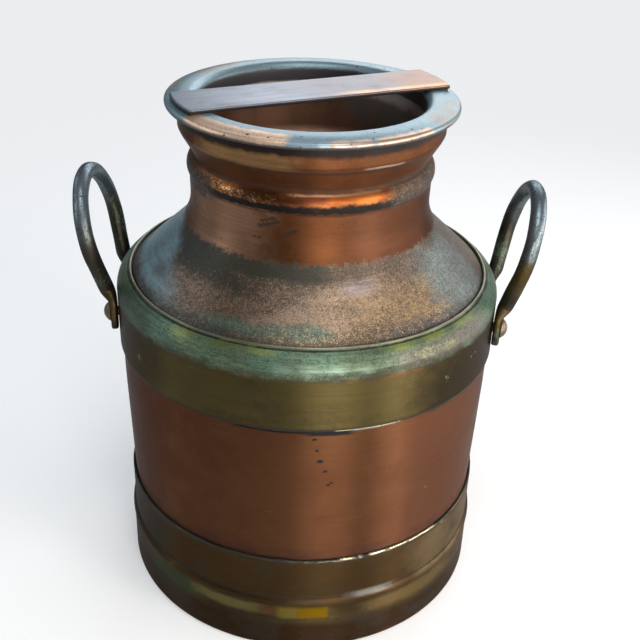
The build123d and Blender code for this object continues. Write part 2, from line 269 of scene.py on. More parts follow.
def spun(name: str, outline: Sequence[Point], material: Material, uneven: Unevenness) -> Piece:
    """Turns an outline round the pot's axis.

    The mesh gets a UV map that runs round and along the sheet, and two attributes: ridge on
    edges that stand proud and rub bright, and hollow where dirt stays.

    Args:
        name: the piece's name.
        outline: closed outline of the sheet. Its first point may lie on the axis.
        material: its finish.
        uneven: how the wall departs from a true round.

    Returns:
        The piece.
    """
    profile = np.array(outline)
    area = np.sum(profile[:, 0] * np.roll(profile[:, 1], -1) - np.roll(profile[:, 0], -1) * profile[:, 1])
    if area < 0:
        profile = profile[::-1]
    count = len(profile)
    ahead = np.roll(profile, -1, axis=0) - profile
    behind = profile - np.roll(profile, 1, axis=0)
    turn = np.arctan2(
        behind[:, 0] * ahead[:, 1] - behind[:, 1] * ahead[:, 0], np.sum(behind * ahead, axis=1)
    )
    length = np.linalg.norm(ahead, axis=1)
    along = np.concatenate([[0], np.cumsum(length)])
    bend = spread_out(turn, along[:-1], 1.2)
    ridge = np.clip(bend * 1.6, 0, 1)
    hollow = np.clip(-bend * 2.2, 0, 1)

    angle = np.arange(SEGMENTS) * 2 * math.pi / SEGMENTS
    theta, radius = np.meshgrid(angle, profile[:, 0], indexing="ij")
    height = np.broadcast_to(profile[:, 1], radius.shape)
    moved = radius + uneven.shift(theta, radius, height) * np.clip(radius / 20, 0, 1)
    points = np.stack([moved * np.cos(theta), moved * np.sin(theta), height], axis=-1) * MM

    column, row = np.meshgrid(np.arange(SEGMENTS), np.arange(count), indexing="ij")
    after_column = (column + 1) % SEGMENTS
    after_row = (row + 1) % count
    faces = np.stack(
        [
            column * count + row,
            after_column * count + row,
            after_column * count + after_row,
            column * count + after_row,
        ],
        axis=-1,
    ).reshape(-1, 4)
    round_uv = np.stack([column, column + 1, column + 1, column], axis=-1) / SEGMENTS
    along_uv = np.stack([along[row], along[row], along[row + 1], along[row + 1]], axis=-1) / 100
    mesh = bpy.data.meshes.new(name)
    mesh.from_pydata(points.reshape(-1, 3).tolist(), [], faces.tolist())
    uv = np.stack([round_uv, along_uv], axis=-1).reshape(-1)
    mesh.uv_layers.new(name="UVMap").data.foreach_set("uv", uv)
    for label, values in (("ridge", ridge), ("hollow", hollow)):
        layer = mesh.attributes.new(label, "FLOAT", "POINT")
        layer.data.foreach_set("value", np.tile(values, SEGMENTS).astype(np.float32))
    joined = bmesh.new()
    joined.from_mesh(mesh)
    bmesh.ops.remove_doubles(joined, verts=joined.verts, dist=1e-7)
    bmesh.ops.dissolve_degenerate(joined, edges=joined.edges, dist=1e-8)
    joined.to_mesh(mesh)
    joined.free()
    return own_mesh(name, mesh, material)


def sleeve(rings: int, sides: int) -> list[tuple[int, ...]]:
    """Gives the faces between rings of points that lie one over the other."""
    return [
        (k * sides + i, k * sides + (i + 1) % sides, (k + 1) * sides + (i + 1) % sides, (k + 1) * sides + i)
        for k in range(rings - 1)
        for i in range(sides)
    ]


def spread_out(values: np.ndarray, along: np.ndarray, width: float) -> np.ndarray:
    """Sums values at points of a line over a soft window of the given width."""
    distance = along[:, None] - along[None, :]
    return np.exp(-((distance / width) ** 2)) @ values


# Node trees


class Graph:
    """Adds nodes to one tree and joins them."""

    def __init__(self, tree: Tree) -> None:
        """Takes the tree that the nodes go into."""
        self.tree = tree

    def node(self, kind: str, inputs: dict[Any, Any] | None = None, **settings: Any) -> bpy.types.Node:
        """Adds a node.

        Args:
            kind: the node's type.
            inputs: values or output sockets for its inputs, by name or number.
            settings: properties of the node.

        Returns:
            The node.
        """
        node = self.tree.nodes.new(kind)
        for key, value in settings.items():
            setattr(node, key, value)
        for key, value in (inputs or {}).items():
            self.feed(node.inputs[key], value)
        return node

    def out(self, kind: str, inputs: dict[Any, Any] | None = None, **settings: Any) -> Socket:
        """Adds a node and returns its first output."""
        return self.node(kind, inputs, **settings).outputs[0]

    def feed(self, socket: Socket, value: Any) -> None:
        """Joins an output to an input, or sets the input's own value."""
        if isinstance(value, Socket):
            self.tree.links.new(value, socket)
        else:
            socket.default_value = value

    def math(self, operation: str, first: Any, second: Any = 0.0, clamp: bool = False) -> Socket:
        """Adds a Math node and returns its result."""
        return self.out("ShaderNodeMath", {0: first, 1: second}, operation=operation, use_clamp=clamp)

    def plus(self, first: Any, second: Any) -> Socket:
        """Adds two numbers."""
        return self.math("ADD", first, second)

    def minus(self, first: Any, second: Any) -> Socket:
        """Takes the second number from the first."""
        return self.math("SUBTRACT", first, second)

    def times(self, *values: Any) -> Any:
        """Multiplies numbers or masks."""
        return functools.reduce(lambda first, second: self.math("MULTIPLY", first, second), values)

    def either(self, *masks: Any) -> Any:
        """Joins masks: the largest counts."""
        return functools.reduce(lambda first, second: self.math("MAXIMUM", first, second), masks)

    def length(self, vector: Any) -> Socket:
        """Gives a vector's length."""
        return self.node("ShaderNodeVectorMath", {0: vector}, operation="LENGTH").outputs["Value"]

    def vector(self, operation: str, first: Any, second: Any) -> Socket:
        """Adds a Vector Math node and returns its vector."""
        return self.out("ShaderNodeVectorMath", {0: first, 1: second}, operation=operation)

    def step(self, value: Any, low: Any, high: Any) -> Socket:
        """Turns a value into 0 below low, 1 above high and a smooth step between them."""
        inputs = {"Value": value, "From Min": low, "From Max": high}
        return self.out("ShaderNodeMapRange", inputs, interpolation_type="SMOOTHSTEP", clamp=True)

    def blend(self, amount: Any, first: Any, second: Any) -> Socket:
        """Mixes two numbers."""
        return self.out("ShaderNodeMix", {0: amount, 2: first, 3: second}, data_type="FLOAT")

    def dye(self, amount: Any, first: Any, second: Any, way: str = "MIX") -> Socket:
        """Mixes two colours."""
        node = self.node("ShaderNodeMix", {0: amount, 6: first, 7: second}, data_type="RGBA", blend_type=way)
        return node.outputs[2]

    def noise(self, where: Any, scale: Any, detail: float, roughness: float = 0.6) -> Socket:
        """Adds a Noise texture and returns its value."""
        inputs = {"Vector": where, "Scale": scale, "Detail": detail, "Roughness": roughness}
        return self.out("ShaderNodeTexNoise", inputs)


FLOAT = "NodeSocketFloat"
VECTOR = "NodeSocketVector"
NOWHERE = (0.0, 0.0, 0.0)
EVEN = (1.0, 1.0, 1.0)

Builder = Callable[[Graph, Any], dict[str, Any]]
Effect = Callable[[], Tree]


def shared_effect(
    name: str, outputs: tuple[str, ...] = ("Mask",), **inputs: Any
) -> Callable[[Builder], Effect]:
    """Turns a function that adds nodes into one that gives a shader node group, built once.

    Args:
        name: the group's name.
        outputs: names of its outputs, each a number.
        inputs: its inputs with their defaults. None or three numbers make a vector, one number a number.

    Returns:
        The decorator.
    """

    def wrap(build: Builder) -> Effect:
        """Wraps the function that adds the nodes and gives the value of each output."""

        @functools.cache
        def group() -> Tree:
            """Builds the group on its first call."""
            tree = bpy.data.node_groups.new(name, "ShaderNodeTree")
            for label, default in inputs.items():
                kind = FLOAT if isinstance(default, float) else VECTOR
                socket = tree.interface.new_socket(label, in_out="INPUT", socket_type=kind)
                if default is not None:
                    socket.default_value = default
            for label in outputs:
                tree.interface.new_socket(label, in_out="OUTPUT", socket_type=FLOAT)
            graph = Graph(tree)
            entry = graph.node("NodeGroupInput")
            results = build(graph, entry.outputs)
            graph.node("NodeGroupOutput", results)
            return tree

        return group

    return wrap


@shared_effect(
    "tarnish_patches", Vector=None, Shift=NOWHERE, Stretch=EVEN, Scale=30.0, Cover=0.5, Softness=0.15,
    Grain=0.2
)
def patches_effect(graph: Graph, given: Any) -> dict[str, Any]:
    """Irregular patches, as tarnish and rubbed places are, with a grain at their edges."""
    where = graph.vector("ADD", given["Vector"], given["Shift"])
    stretched = graph.vector("MULTIPLY", where, given["Stretch"])
    broad = graph.noise(stretched, given["Scale"], 5.0, 0.62)
    grain = graph.noise(where, graph.times(given["Scale"], 14.0), 3.0, 0.7)
    mixed = graph.blend(given["Grain"], broad, grain)
    edge = graph.minus(1.0, given["Cover"])
    low = graph.minus(edge, given["Softness"])
    high = graph.plus(edge, given["Softness"])
    spread = graph.out(
        "ShaderNodeMapRange", {"Value": mixed, "From Min": 0.28, "From Max": 0.72}, clamp=True
    )
    return {"Mask": graph.step(spread, low, high)}


@shared_effect("pit_specks", Vector=None, Shift=NOWHERE, Scale=600.0, Size=0.5, Amount=0.5)
def specks_effect(graph: Graph, given: Any) -> dict[str, Any]:
    """Small round specks and pits of uneven size."""
    where = graph.vector("ADD", given["Vector"], given["Shift"])
    cells = graph.node("ShaderNodeTexVoronoi", {"Vector": where, "Scale": given["Scale"]})
    chance = graph.node("ShaderNodeSeparateColor", {"Color": cells.outputs["Color"]})
    size = graph.times(graph.math("POWER", chance.outputs[0], 2.0), given["Size"])
    spot = graph.step(cells.outputs["Distance"], size, graph.times(size, 0.4))
    few = graph.math("GREATER_THAN", given["Amount"], chance.outputs[1])
    clumps = graph.noise(where, graph.times(given["Scale"], 0.07), 3.0)
    return {"Mask": graph.times(spot, few, graph.step(clumps, 0.4, 0.6))}


@shared_effect(
    "fine_speckle", Vector=None, Shift=NOWHERE, Stretch=EVEN, Scale=900.0, Clumps=0.35, Amount=0.4
)
def speckle_effect(graph: Graph, given: Any) -> dict[str, Any]:
    """A fine grain of separate flecks, as dense as its amount says from place to place."""
    where = graph.vector("ADD", given["Vector"], given["Shift"])
    warped = graph.vector("MULTIPLY", where, given["Stretch"])
    cells = graph.node("ShaderNodeTexVoronoi", {"Vector": warped, "Scale": given["Scale"]})
    chance = graph.out("ShaderNodeSeparateColor", {"Color": cells.outputs["Color"]})
    clumps = graph.noise(warped, graph.times(given["Scale"], 0.16), 4.0, 0.7)
    mixed = graph.blend(given["Clumps"], chance, graph.step(clumps, 0.3, 0.7))
    level = graph.plus(0.12, graph.times(given["Amount"], 0.76))
    flecks = graph.step(mixed, graph.plus(level, 0.05), graph.minus(level, 0.05))
    return {"Mask": graph.times(flecks, graph.step(given["Amount"], 0.0, 0.06))}


@shared_effect(
    "ragged_band", Vector=None, Value=0.0, Low=0.0, High=0.1, Softness=0.002, Ragged=0.01, Scale=90.0
)
def band_effect(graph: Graph, given: Any) -> dict[str, Any]:
    """A band between two values of a height or a radius, with ragged, grainy borders."""
    coarse = graph.noise(given["Vector"], given["Scale"], 6.0, 0.72)
    wobble = graph.times(graph.minus(coarse, 0.5), given["Ragged"])
    moved = graph.plus(given["Value"], wobble)
    soft = given["Softness"]
    above = graph.step(moved, graph.minus(given["Low"], soft), graph.plus(given["Low"], soft))
    below = graph.step(moved, graph.plus(given["High"], soft), graph.minus(given["High"], soft))
    return {"Mask": graph.times(above, below)}


@shared_effect("spinning_lines", ("Height", "Mask"), UV=None, Stretch=(2.0, 60.0, 1.0))
def spinning_effect(graph: Graph, given: Any) -> dict[str, Any]:
    """Fine lines that run round the pot, from the spinning lathe and years of rubbing."""
    lengthened = graph.vector("MULTIPLY", given["UV"], given["Stretch"])
    fine = graph.noise(lengthened, 40.0, 4.0, 0.7)
    broad = graph.noise(graph.vector("MULTIPLY", given["UV"], (1.5, 9.0, 1.0)), 5.0, 3.0, 0.5)
    lines = graph.blend(0.35, fine, broad)
    return {"Height": lines, "Mask": graph.step(lines, 0.35, 0.65)}


@shared_effect("edge_rub", Vector=None, Edge=0.0, Scale=120.0, Amount=0.5)
def rub_effect(graph: Graph, given: Any) -> dict[str, Any]:
    """Where hands and tables rub edges bright, broken up by a grain."""
    broken = graph.noise(given["Vector"], given["Scale"], 4.0, 0.7)
    level = graph.plus(given["Edge"], graph.times(graph.minus(broken, 0.5), 1.4))
    return {"Mask": graph.step(level, graph.minus(1.0, given["Amount"]), 1.0)}


@shared_effect(
    "single_mark", Vector=None, Place=NOWHERE, Stretch=EVEN, Radius=0.002, Softness=0.4, Scale=400.0
)
def spot_effect(graph: Graph, given: Any) -> dict[str, Any]:
    """One mark at a place, with an uneven border."""
    offset = graph.vector("SUBTRACT", given["Vector"], given["Place"])
    length = graph.length(graph.vector("MULTIPLY", offset, given["Stretch"]))
    wobble = graph.noise(given["Vector"], given["Scale"], 4.0, 0.65)
    moved = graph.times(length, graph.plus(0.4, graph.times(wobble, 1.2)))
    inner = graph.times(given["Radius"], graph.minus(1.0, given["Softness"]))
    return {"Mask": graph.step(moved, given["Radius"], inner)}


@shared_effect("stray_scratches", Vector=None, Amount=0.4)
def scratch_effect(graph: Graph, given: Any) -> dict[str, Any]:
    """Thin stray scratches that cross each other, here and there."""
    masks = []
    for turn, seed in (((0.3, 0.2, 0.5), 3.1), ((1.2, 0.5, 2.1), 7.7)):
        turned = graph.out(
            "ShaderNodeMapping", {"Vector": given["Vector"], "Rotation": turn, "Scale": (28.0, 28.0, 420.0)}
        )
        moved = graph.vector("ADD", turned, (seed, seed, seed))
        cells = graph.node(
            "ShaderNodeTexVoronoi", {"Vector": moved, "Scale": 1.0}, feature="DISTANCE_TO_EDGE"
        ).outputs["Distance"]
        thin = graph.step(cells, 0.035, 0.0)
        start = graph.minus(0.78, graph.times(given["Amount"], 0.2))
        rare = graph.step(graph.noise(given["Vector"], 34.0 + seed, 2.0), start, 0.8)
        masks.append(graph.times(thin, rare))
    return {"Mask": graph.either(*masks)}


@dataclass(frozen=True)
class Bare:
    """What lies under a finish's coats, and how light meets it: relief, streaks and tint at a flat angle."""

    colour: Shade
    metallic: float
    roughness: float
    bump: float = 0.15
    streak: float = 0.0
    edge: Shade | None = None


class Finish(Graph):
    """One metal surface, laid on in coats: each coat covers the last where its mask says."""

    name: str
    bare: Bare
    relief_depth = 0.0004
    upright_streaks = 0.25

    def __init__(self) -> None:
        """Starts the finish with its bare metal."""
        self.material = bpy.data.materials.new(self.name)
        self.material.use_nodes = True
        self.material.node_tree.nodes.clear()
        super().__init__(self.material.node_tree)
        coordinates = self.node("ShaderNodeTexCoord")
        self.place = coordinates.outputs["Object"]
        self.uv = coordinates.outputs["UV"]
        self.level_here = self.node("ShaderNodeSeparateXYZ", {"Vector": self.place}).outputs["Z"]
        flat = self.vector("MULTIPLY", self.place, (1.0, 1.0, 0.0))
        self.radius_here = self.length(flat)
        self.turn_here = self.node("ShaderNodeSeparateXYZ", {"Vector": self.uv}).outputs["X"]
        self.colour: Any = tone(*self.bare.colour)
        self.metallic: Any = self.bare.metallic
        self.roughness: Any = self.bare.roughness
        self.height: Any = 0.5

    def lay(self) -> None:
        """Lays the coats."""
        raise NotImplementedError

    def mask(self, effect: Tree, output: str = "Mask", **values: Any) -> Socket:
        """Places a shared effect in this finish with its own values.

        Args:
            effect: the node group.
            output: which of its outputs to return.
            values: its inputs, by name.

        Returns:
            The output.
        """
        group = self.node("ShaderNodeGroup", node_tree=effect)
        group.node_tree = effect
        for socket in group.inputs:
            if socket.name == "Vector":
                self.feed(socket, self.place)
            elif socket.name == "UV":
                self.feed(socket, self.uv)
        for label, value in values.items():
            self.feed(group.inputs[label], value)
        return group.outputs[output]

    def patches(
        self, scale: float, cover: float, soft: float, grain: float = 0.2, tall: float = 1.0,
        shift: Vector3 = NOWHERE,
    ) -> Socket:
        """Irregular patches: how fine, how far they cover, how soft and grainy their edges, how flat."""
        return self.mask(
            patches_effect(), Scale=scale, Cover=cover, Softness=soft, Grain=grain, Stretch=(1.0, 1.0, tall),
            Shift=shift,
        )

    def specks(self, scale: float, size: float, amount: float, **values: Any) -> Socket:
        """Small specks: how fine, how large in their cells and how many."""
        return self.mask(specks_effect(), Scale=scale, Size=size, Amount=amount, **values)

    def speckle(
        self, amount: Any, scale: float, tall: float = 1.0, shift: Vector3 = NOWHERE, **values: float
    ) -> Socket:
        """A fine grain, as dense as the amount says."""
        return self.mask(
            speckle_effect(), Amount=amount, Scale=scale, Stretch=(1.0, 1.0, tall), Shift=shift, **values
        )

    def band(
        self, value: Any, low: float, high: float, soft: float = 2, ragged: float = 10, scale: float = 90
    ) -> Socket:
        """A band between two values in mm, with borders so many mm soft and ragged."""
        return self.mask(
            band_effect(), Value=value, Low=low * MM, High=high * MM, Softness=soft * MM, Ragged=ragged * MM,
            Scale=scale,
        )

    def level(self, low: float, high: float, *border: float, **values: float) -> Socket:
        """A band between two heights."""
        return self.band(self.level_here, low, high, *border, **values)

    def ring(self, low: float, high: float, *border: float, **values: float) -> Socket:
        """A band between two radii."""
        return self.band(self.radius_here, low, high, *border, **values)

    def field(self, sector: Range, heights: Range, soft: Range = (8.0, 3.0), slant: float = 0.0) -> Socket:
        """A soft-bordered field on a turned piece.

        Args:
            sector: where it starts and ends, as bearings in degrees from -180 to 0.
            heights: its lowest and highest level in mm.
            soft: how soft its borders are, in degrees and in mm.
            slant: how far its sides lean, in degrees for each mm of height.

        Returns:
            The mask.
        """
        middle = sum(heights) / 2
        lean = self.times(self.minus(self.level_here, middle * MM), slant / 360 / MM)
        across = self.mask(
            band_effect(), Value=self.minus(self.turn_here, lean), Low=sector[0] / 360 + 1,
            High=sector[1] / 360 + 1, Softness=soft[0] / 360, Ragged=soft[0] / 120, Scale=60.0,
        )
        upright = self.level(*heights, soft[1], soft[1] * 3, 60.0)
        return self.times(across, upright)

    def worn(self, label: str, **values: Any) -> Socket:
        """Broken wear along an attribute of the mesh."""
        edge = self.node("ShaderNodeAttribute", attribute_name=label).outputs["Fac"]
        return self.mask(rub_effect(), Edge=edge, **values)

    def scratches(self, amount: float) -> Socket:
        """Thin stray scratches."""
        return self.mask(scratch_effect(), Amount=amount)

    def brushing(self, lengthwise: float = 0.3, across: float = 2.5) -> Socket:
        """Lines of about a millimetre that run round the pot, from rubbing."""
        return self.mask(spinning_effect(), Stretch=(lengthwise, across, 1.0))

    def stains(
        self, places: Sequence[Spot], soft: float = 0.4, scale: float = 400.0, stretch: Vector3 = EVEN
    ) -> Any:
        """Several stains: how much of each fades, how fine their borders are, how narrow they lie."""
        values = {"Softness": soft, "Scale": scale, "Stretch": stretch}
        masks = [
            self.mask(spot_effect(), Place=spot.place(), Radius=spot.reach * MM, **values) for spot in places
        ]
        return self.either(*masks)

    def less(self, mask: Any, other: Any) -> Any:
        """Takes one mask out of another."""
        return self.times(mask, self.minus(1.0, other))

    def coat(
        self, mask: Any, colour: Shade, metallic: float | None = None, roughness: float | None = None,
        raised: float = 0.0,
    ) -> None:
        """Lays a coat over what is there.

        Args:
            mask: where the coat lies. Several masks are multiplied.
            colour: its colour on the screen's scale.
            metallic: how metallic it is, or None to leave that as it was.
            roughness: its roughness, or None to leave that as it was.
            raised: how much it stands over or, below 0, is sunk into the surface.
        """
        if isinstance(mask, tuple):
            mask = self.times(*mask)
        self.colour = self.dye(mask, self.colour, tone(*colour))
        if metallic is not None:
            self.metallic = self.blend(mask, self.metallic, metallic)
        if roughness is not None:
            self.roughness = self.blend(mask, self.roughness, roughness)
        if raised:
            self.relief(mask, raised)

    def relief(self, height: Any, amount: float) -> None:
        """Adds to the height that the bump is made from."""
        self.height = self.plus(self.height, self.times(height, amount))

    def turned(self, rougher: float) -> None:
        """Lays the fine lines of the lathe into the metal, which make it so much rougher."""
        lines = self.mask(spinning_effect(), output="Height")
        self.relief(lines, 0.5)
        self.roughness = self.math("ADD", self.roughness, self.times(lines, rougher), clamp=True)

    def made(self) -> Material:
        """Lays the coats, joins them to the shader and gives the material."""
        self.lay()
        bare = self.bare
        relief = self.out(
            "ShaderNodeBump", {"Strength": bare.bump, "Distance": self.relief_depth, "Height": self.height}
        )
        inputs = {
            "Base Color": self.colour,
            "Metallic": self.metallic,
            "Roughness": self.roughness,
            "Normal": relief,
        }
        shader = self.node("ShaderNodeBsdfPrincipled", inputs)
        if bare.edge:
            shader.inputs["Specular Tint"].default_value = tone(*bare.edge)
        if bare.streak:
            shader.inputs["Anisotropic"].default_value = bare.streak
            shader.inputs["Anisotropic Rotation"].default_value = self.upright_streaks
            tangent = self.out("ShaderNodeTangent", direction_type="UV_MAP", uv_map="UVMap")
            self.feed(shader.inputs["Tangent"], tangent)
        self.node("ShaderNodeOutputMaterial", {"Surface": shader.outputs[0]})
        return self.material


# Finishes of this pot


@dataclass(frozen=True)
class Spot:
    """A place on the pot where a stain or a rub mark lies: degrees, and height, radius and reach in mm."""

    azimuth: float
    height: float
    radius: float
    reach: float

    def place(self) -> Vector3:
        """Gives the place in metres."""
        angle = math.radians(self.azimuth)
        return self.radius * math.cos(angle) * MM, self.radius * math.sin(angle) * MM, self.height * MM


def spots(radius: float, *places: Vector3) -> list[Spot]:
    """Gives several spots at one radius, each as azimuth, height and reach."""
    return [Spot(azimuth, height, radius, reach) for azimuth, height, reach in places]


FLAT_TINT = (208, 205, 206)


class BodyCopper(Finish):
    """Reddish brown copper of the wall, smooth from polishing, with a short row of pits."""

    name = "body_copper"
    bare = Bare((102, 69, 45), 1, 0.27, bump=0.13, streak=0.95, edge=FLAT_TINT)

    def lay(self) -> None:
        """Lays the coats."""
        self.coat(self.patches(7, 0.5, 0.6, 0.04), (99, 62, 42))
        # Painted shade: the wall darker on its left side.
        self.coat((self.field((-180, -110), (60, 158), (30, 6)), 0.8), (77, 43, 26))
        # Painted light: the wall lighter and warmer on its right side.
        self.coat((self.field((-60, -12), (60, 158), (14, 6)), 0.6), (122, 80, 62))
        self.coat(self.patches(60, 0.3, 0.4, 0.35), (102, 68, 46), 0.95, 0.38)
        self.turned(0.1)
        brushed = self.mask(spinning_effect(), Stretch=(1, 90, 1))
        self.coat((brushed, 0.3), (84, 56, 38))
        self.coat((self.brushing(), 0.22), (84, 56, 38))
        self.coat(self.level(63, 65.8, 0.6, 3), (24, 20, 18), 0.2, 0.6)
        # Painted shadow over the joint: very dark under the collar's hem, with darker runs reaching lower at
        # the front.
        self.coat(self.level(152.6, 157, 0.4, 2, 60), (18, 15, 14), 0.2, 0.6)
        hem_shadow_runs = ((-108, -86, 151.5), (-88, -75, 150.2), (-52, -40, 152))
        for start, end, low in hem_shadow_runs:
            hem_shadow = self.field((start, end), (low, 158), (2, 0.6))
            self.coat(hem_shadow, (14, 12, 13), 0.2, 0.6, -0.4)
        silver = self.field((-75, -62), (152.4, 158), (1.5, 0.3))
        self.coat((silver, 0.8), (150, 148, 152), 1, 0.3)
        grime = self.times(self.level(63, 72, 3, 10), self.patches(50, 0.5, 0.3))
        self.coat(grime, (74, 46, 34), 0.7, 0.5)
        self.coat(self.specks(300, 0.22, 0.3), (60, 38, 30), 0.5, 0.6, -0.5)
        self.coat(self.scratches(0.35), (176, 128, 98), 1, 0.35, -0.3)
        pits = spots(
            108.3, (-85.3, 148.1, 1.3), (-84.4, 141.1, 1.2), (-83.5, 134.3, 1.9), (-81.9, 127.4, 1.4),
            (-80.9, 118.2, 1.5), (-79.9, 119.4, 1.2),
        )
        self.coat(self.stains(pits, 0.5, stretch=(0.75, 1, 1.25)), (20, 13, 11), 0.1, 0.8, -2.5)


class NeckCopper(Finish):
    """Spun copper: bright where a hand rubs the neck, with films of tarnish over the rest."""

    name = "neck_copper"
    neck_radius = 66.6
    bare = Bare((122, 78, 48), 1, 0.38, bump=0.25, streak=0.8, edge=FLAT_TINT)

    def lay(self) -> None:
        """Lays the coats."""
        self.coat(self.level(222, 255.5, 1, 2), (90, 51, 27), 1, 0.34)
        self.coat(self.patches(26, 0.45, 0.45, 0.12), (98, 60, 37), 0.95, 0.4)
        self.coat((self.field((-72, -14), (222, 256), (9, 2)), 0.9), (88, 57, 42), 0.95, 0.42)
        # Painted reflection: a paler field on the neck's left side.
        paler_painted_light = self.field((-158, -108), (226, 257), (12, 3))
        self.coat((paler_painted_light, 0.9), (158, 122, 98), 0.9, 0.4)
        self.turned(0.12)
        self.coat((self.brushing(), 0.3), (80, 50, 34), 0.95)
        self.coat((self.brushing(0.8, 4), 0.14), (140, 98, 66), 1)
        self.cone_patina()
        self.bead_and_mouth()
        self.coat((self.worn("hollow", Amount=0.6, Scale=90), 0.7), (48, 34, 26), 0.4, 0.6)
        self.coat(self.specks(480, 0.4, 0.3), (44, 30, 24), 0.3, 0.6, -0.8)
        scars = (
            ((-109, 248.8), (-104, 250.8), 2.4, 4), ((-109.9, 246), (-102.3, 249), 2.8, 5),
            ((-98.2, 242.8), (-94.8, 245.2), 2.8, 4), ((-112.8, 239.3), (-110.6, 239.5), 1.6, 2),
            ((-112, 234.5), (-110, 234.1), 1.6, 2),
        )
        places = [
            Spot(bearing, height, self.neck_radius, reach)
            for start, end, reach, count in scars
            for bearing, height in np.linspace(start, end, count)
        ]
        marks = self.stains(places, 0.7, 700, (1, 1, 1.5))
        self.coat((marks, 0.9), (40, 28, 23), 0.2, 0.7, -1)

    def cone_patina(self) -> None:
        """Lays the dark, grainy, many-coloured film of the cone over the copper, with painted light and
        shade: a painted shadow of the neck, a painted reflection on the left and a painted sheen.
        """
        cone = self.level(150, 228, 1, 12, 320)
        self.coat(cone, (108, 92, 78), 0.52, 0.44, 0.15)
        # The first two zones are partly painted shade and light: darker brown to the left and paler tan to
        # the right of a leaning border along a painted shadow's edge.
        zones = (
            ((-166, -97), (203, 219), (9, 4), 0, (104, 82, 68), 0.95),
            ((-93, -56), (203, 222), (6, 4), 1.7, (164, 138, 118), 0.9),
            ((-62, -34), (199, 219), (7, 4), 0, (142, 122, 98), 0.6),
            ((-122, -80), (199.8, 205), (8, 2.2), 0, (84, 124, 110), 0.75),
            ((-40, -9), (198, 224), (9, 6), 0, (150, 166, 166), 0.9),
            ((-330, -215), (203, 220), (9, 5), 0, (128, 104, 86), 0.9),
            ((-172, -112), (196, 201.5), (9, 2), 0, (56, 66, 70), 0.75),
            ((-66, -32), (197, 201.6), (7, 1.4), 0, (60, 74, 90), 0.7),
        )
        for sector, heights, soft, slant, colour, share in zones:
            self.coat((cone, self.field(sector, heights, soft, slant), share), colour)
        # Painted reflection: pale blue-grey light on the cone's left side.
        blue = self.field((-208, -152), (201.5, 232), (12, 3.5), -0.9)
        self.coat((cone, blue, 0.95), (146, 178, 190), 0.5, 0.42)
        blot = self.field((-157, -148), (205.5, 211), (4, 2.4))
        self.coat((cone, blot, 0.6), (74, 62, 56))
        grainy = self.less(cone, self.times(blue, 0.75))
        self.coat((cone, self.brushing(), 0.34), (72, 64, 56))
        dusk = self.patches(30, 0.42, 0.35, 0.2, tall=2.4)
        self.coat((grainy, dusk, 0.5), (68, 62, 54))
        # Partly painted shadow: the neck's shadow on the cone's upper left, in a dark olive grey that is
        # partly tarnish.
        neck_shadow_and_tarnish = self.either(
            self.field((-160, -120), (214, 232), (7, 3), -1.6), self.field((-142, -79), (221, 232), (6, 1.4))
        )
        self.coat((cone, neck_shadow_and_tarnish, 0.9), (54, 56, 48), 0.4, 0.5)
        rim = self.level(217, 229, 4, 8, 90)
        dust = self.speckle(self.times(grainy, self.blend(rim, 0.32, 0.5)), 2300)
        self.coat((dust, 0.62), (48, 46, 40), 0.4, 0.5)
        pale = self.less(
            self.field((-150, -60), (202, 219), (14, 4)), self.field((-122, -80), (199, 206), (5, 1.5))
        )
        lift = self.times(self.less(grainy, self.times(neck_shadow_and_tarnish, 0.85)), self.blend(pale, 0.1, 0.34))
        self.coat((self.speckle(lift, 2600, shift=(0.4, 0.2, 0.7)), 0.5), (172, 148, 126), 0.85, 0.38)
        gilt = self.either(
            self.field((-76, -38), (199, 218), (9, 3.5)), self.times(
                self.field((-104, -66), (198, 203), (9, 2)), 0.6
            )
        )
        drifts = self.patches(80, 0.62, 0.3, 0.3, tall=3, shift=(0.5, 0, 0))
        flecks = self.speckle(
            self.times(cone, gilt, self.blend(drifts, 0.06, 0.42)), 2500, shift=(0.1, 0.9, 0.3)
        )
        self.coat((flecks, 0.62), (204, 170, 122), 1, 0.36)
        sheen = self.field((-74, -63), (215.5, 221), (4, 1.5))
        self.coat((cone, sheen, self.blend(self.brushing(), 0.6, 0.15)), (190, 180, 186), 0.9, 0.3)

    def bead_and_mouth(self) -> None:
        """Lays grime and rubbed metal on the neck's bead, on the hollow over it and under the mouth, with
        painted highlights on the bead, painted reflection bars in the hollow and a painted shadow under the
        lid's flange.
        """
        bead = self.level(257.6, 265.4, 1.2, 3, 120)
        self.coat((bead, 0.9), (138, 82, 42), 0.95, 0.3)
        mottle = self.patches(90, 0.45, 0.2, 0.35, tall=2, shift=(0, 0.3, 0))
        self.coat((bead, mottle, 0.8), (86, 52, 33))
        self.coat((self.field((-100, -77), (260.2, 264.2), (3, 0.8)), 0.7), (104, 54, 40))
        self.coat((self.field((-81, -56), (260.6, 264.6), (3, 0.8)), 0.7), (160, 88, 38))
        # Painted highlight: pale beige dabs on the bead's left side.
        highlight_dabs = self.field((-138, -103), (258.4, 263), (4, 1.2))
        bright = self.speckle(self.times(highlight_dabs, 0.36), 1100, tall=1.6)
        self.coat((bead, bright, 0.65), (204, 168, 130), 1, 0.26)
        groove = self.level(254.6, 259, 0.7, 6, 260)
        grit = self.patches(150, 0.8, 0.2, 0.5)
        self.coat((groove, grit), (15, 13, 12), 0.3, 0.6)
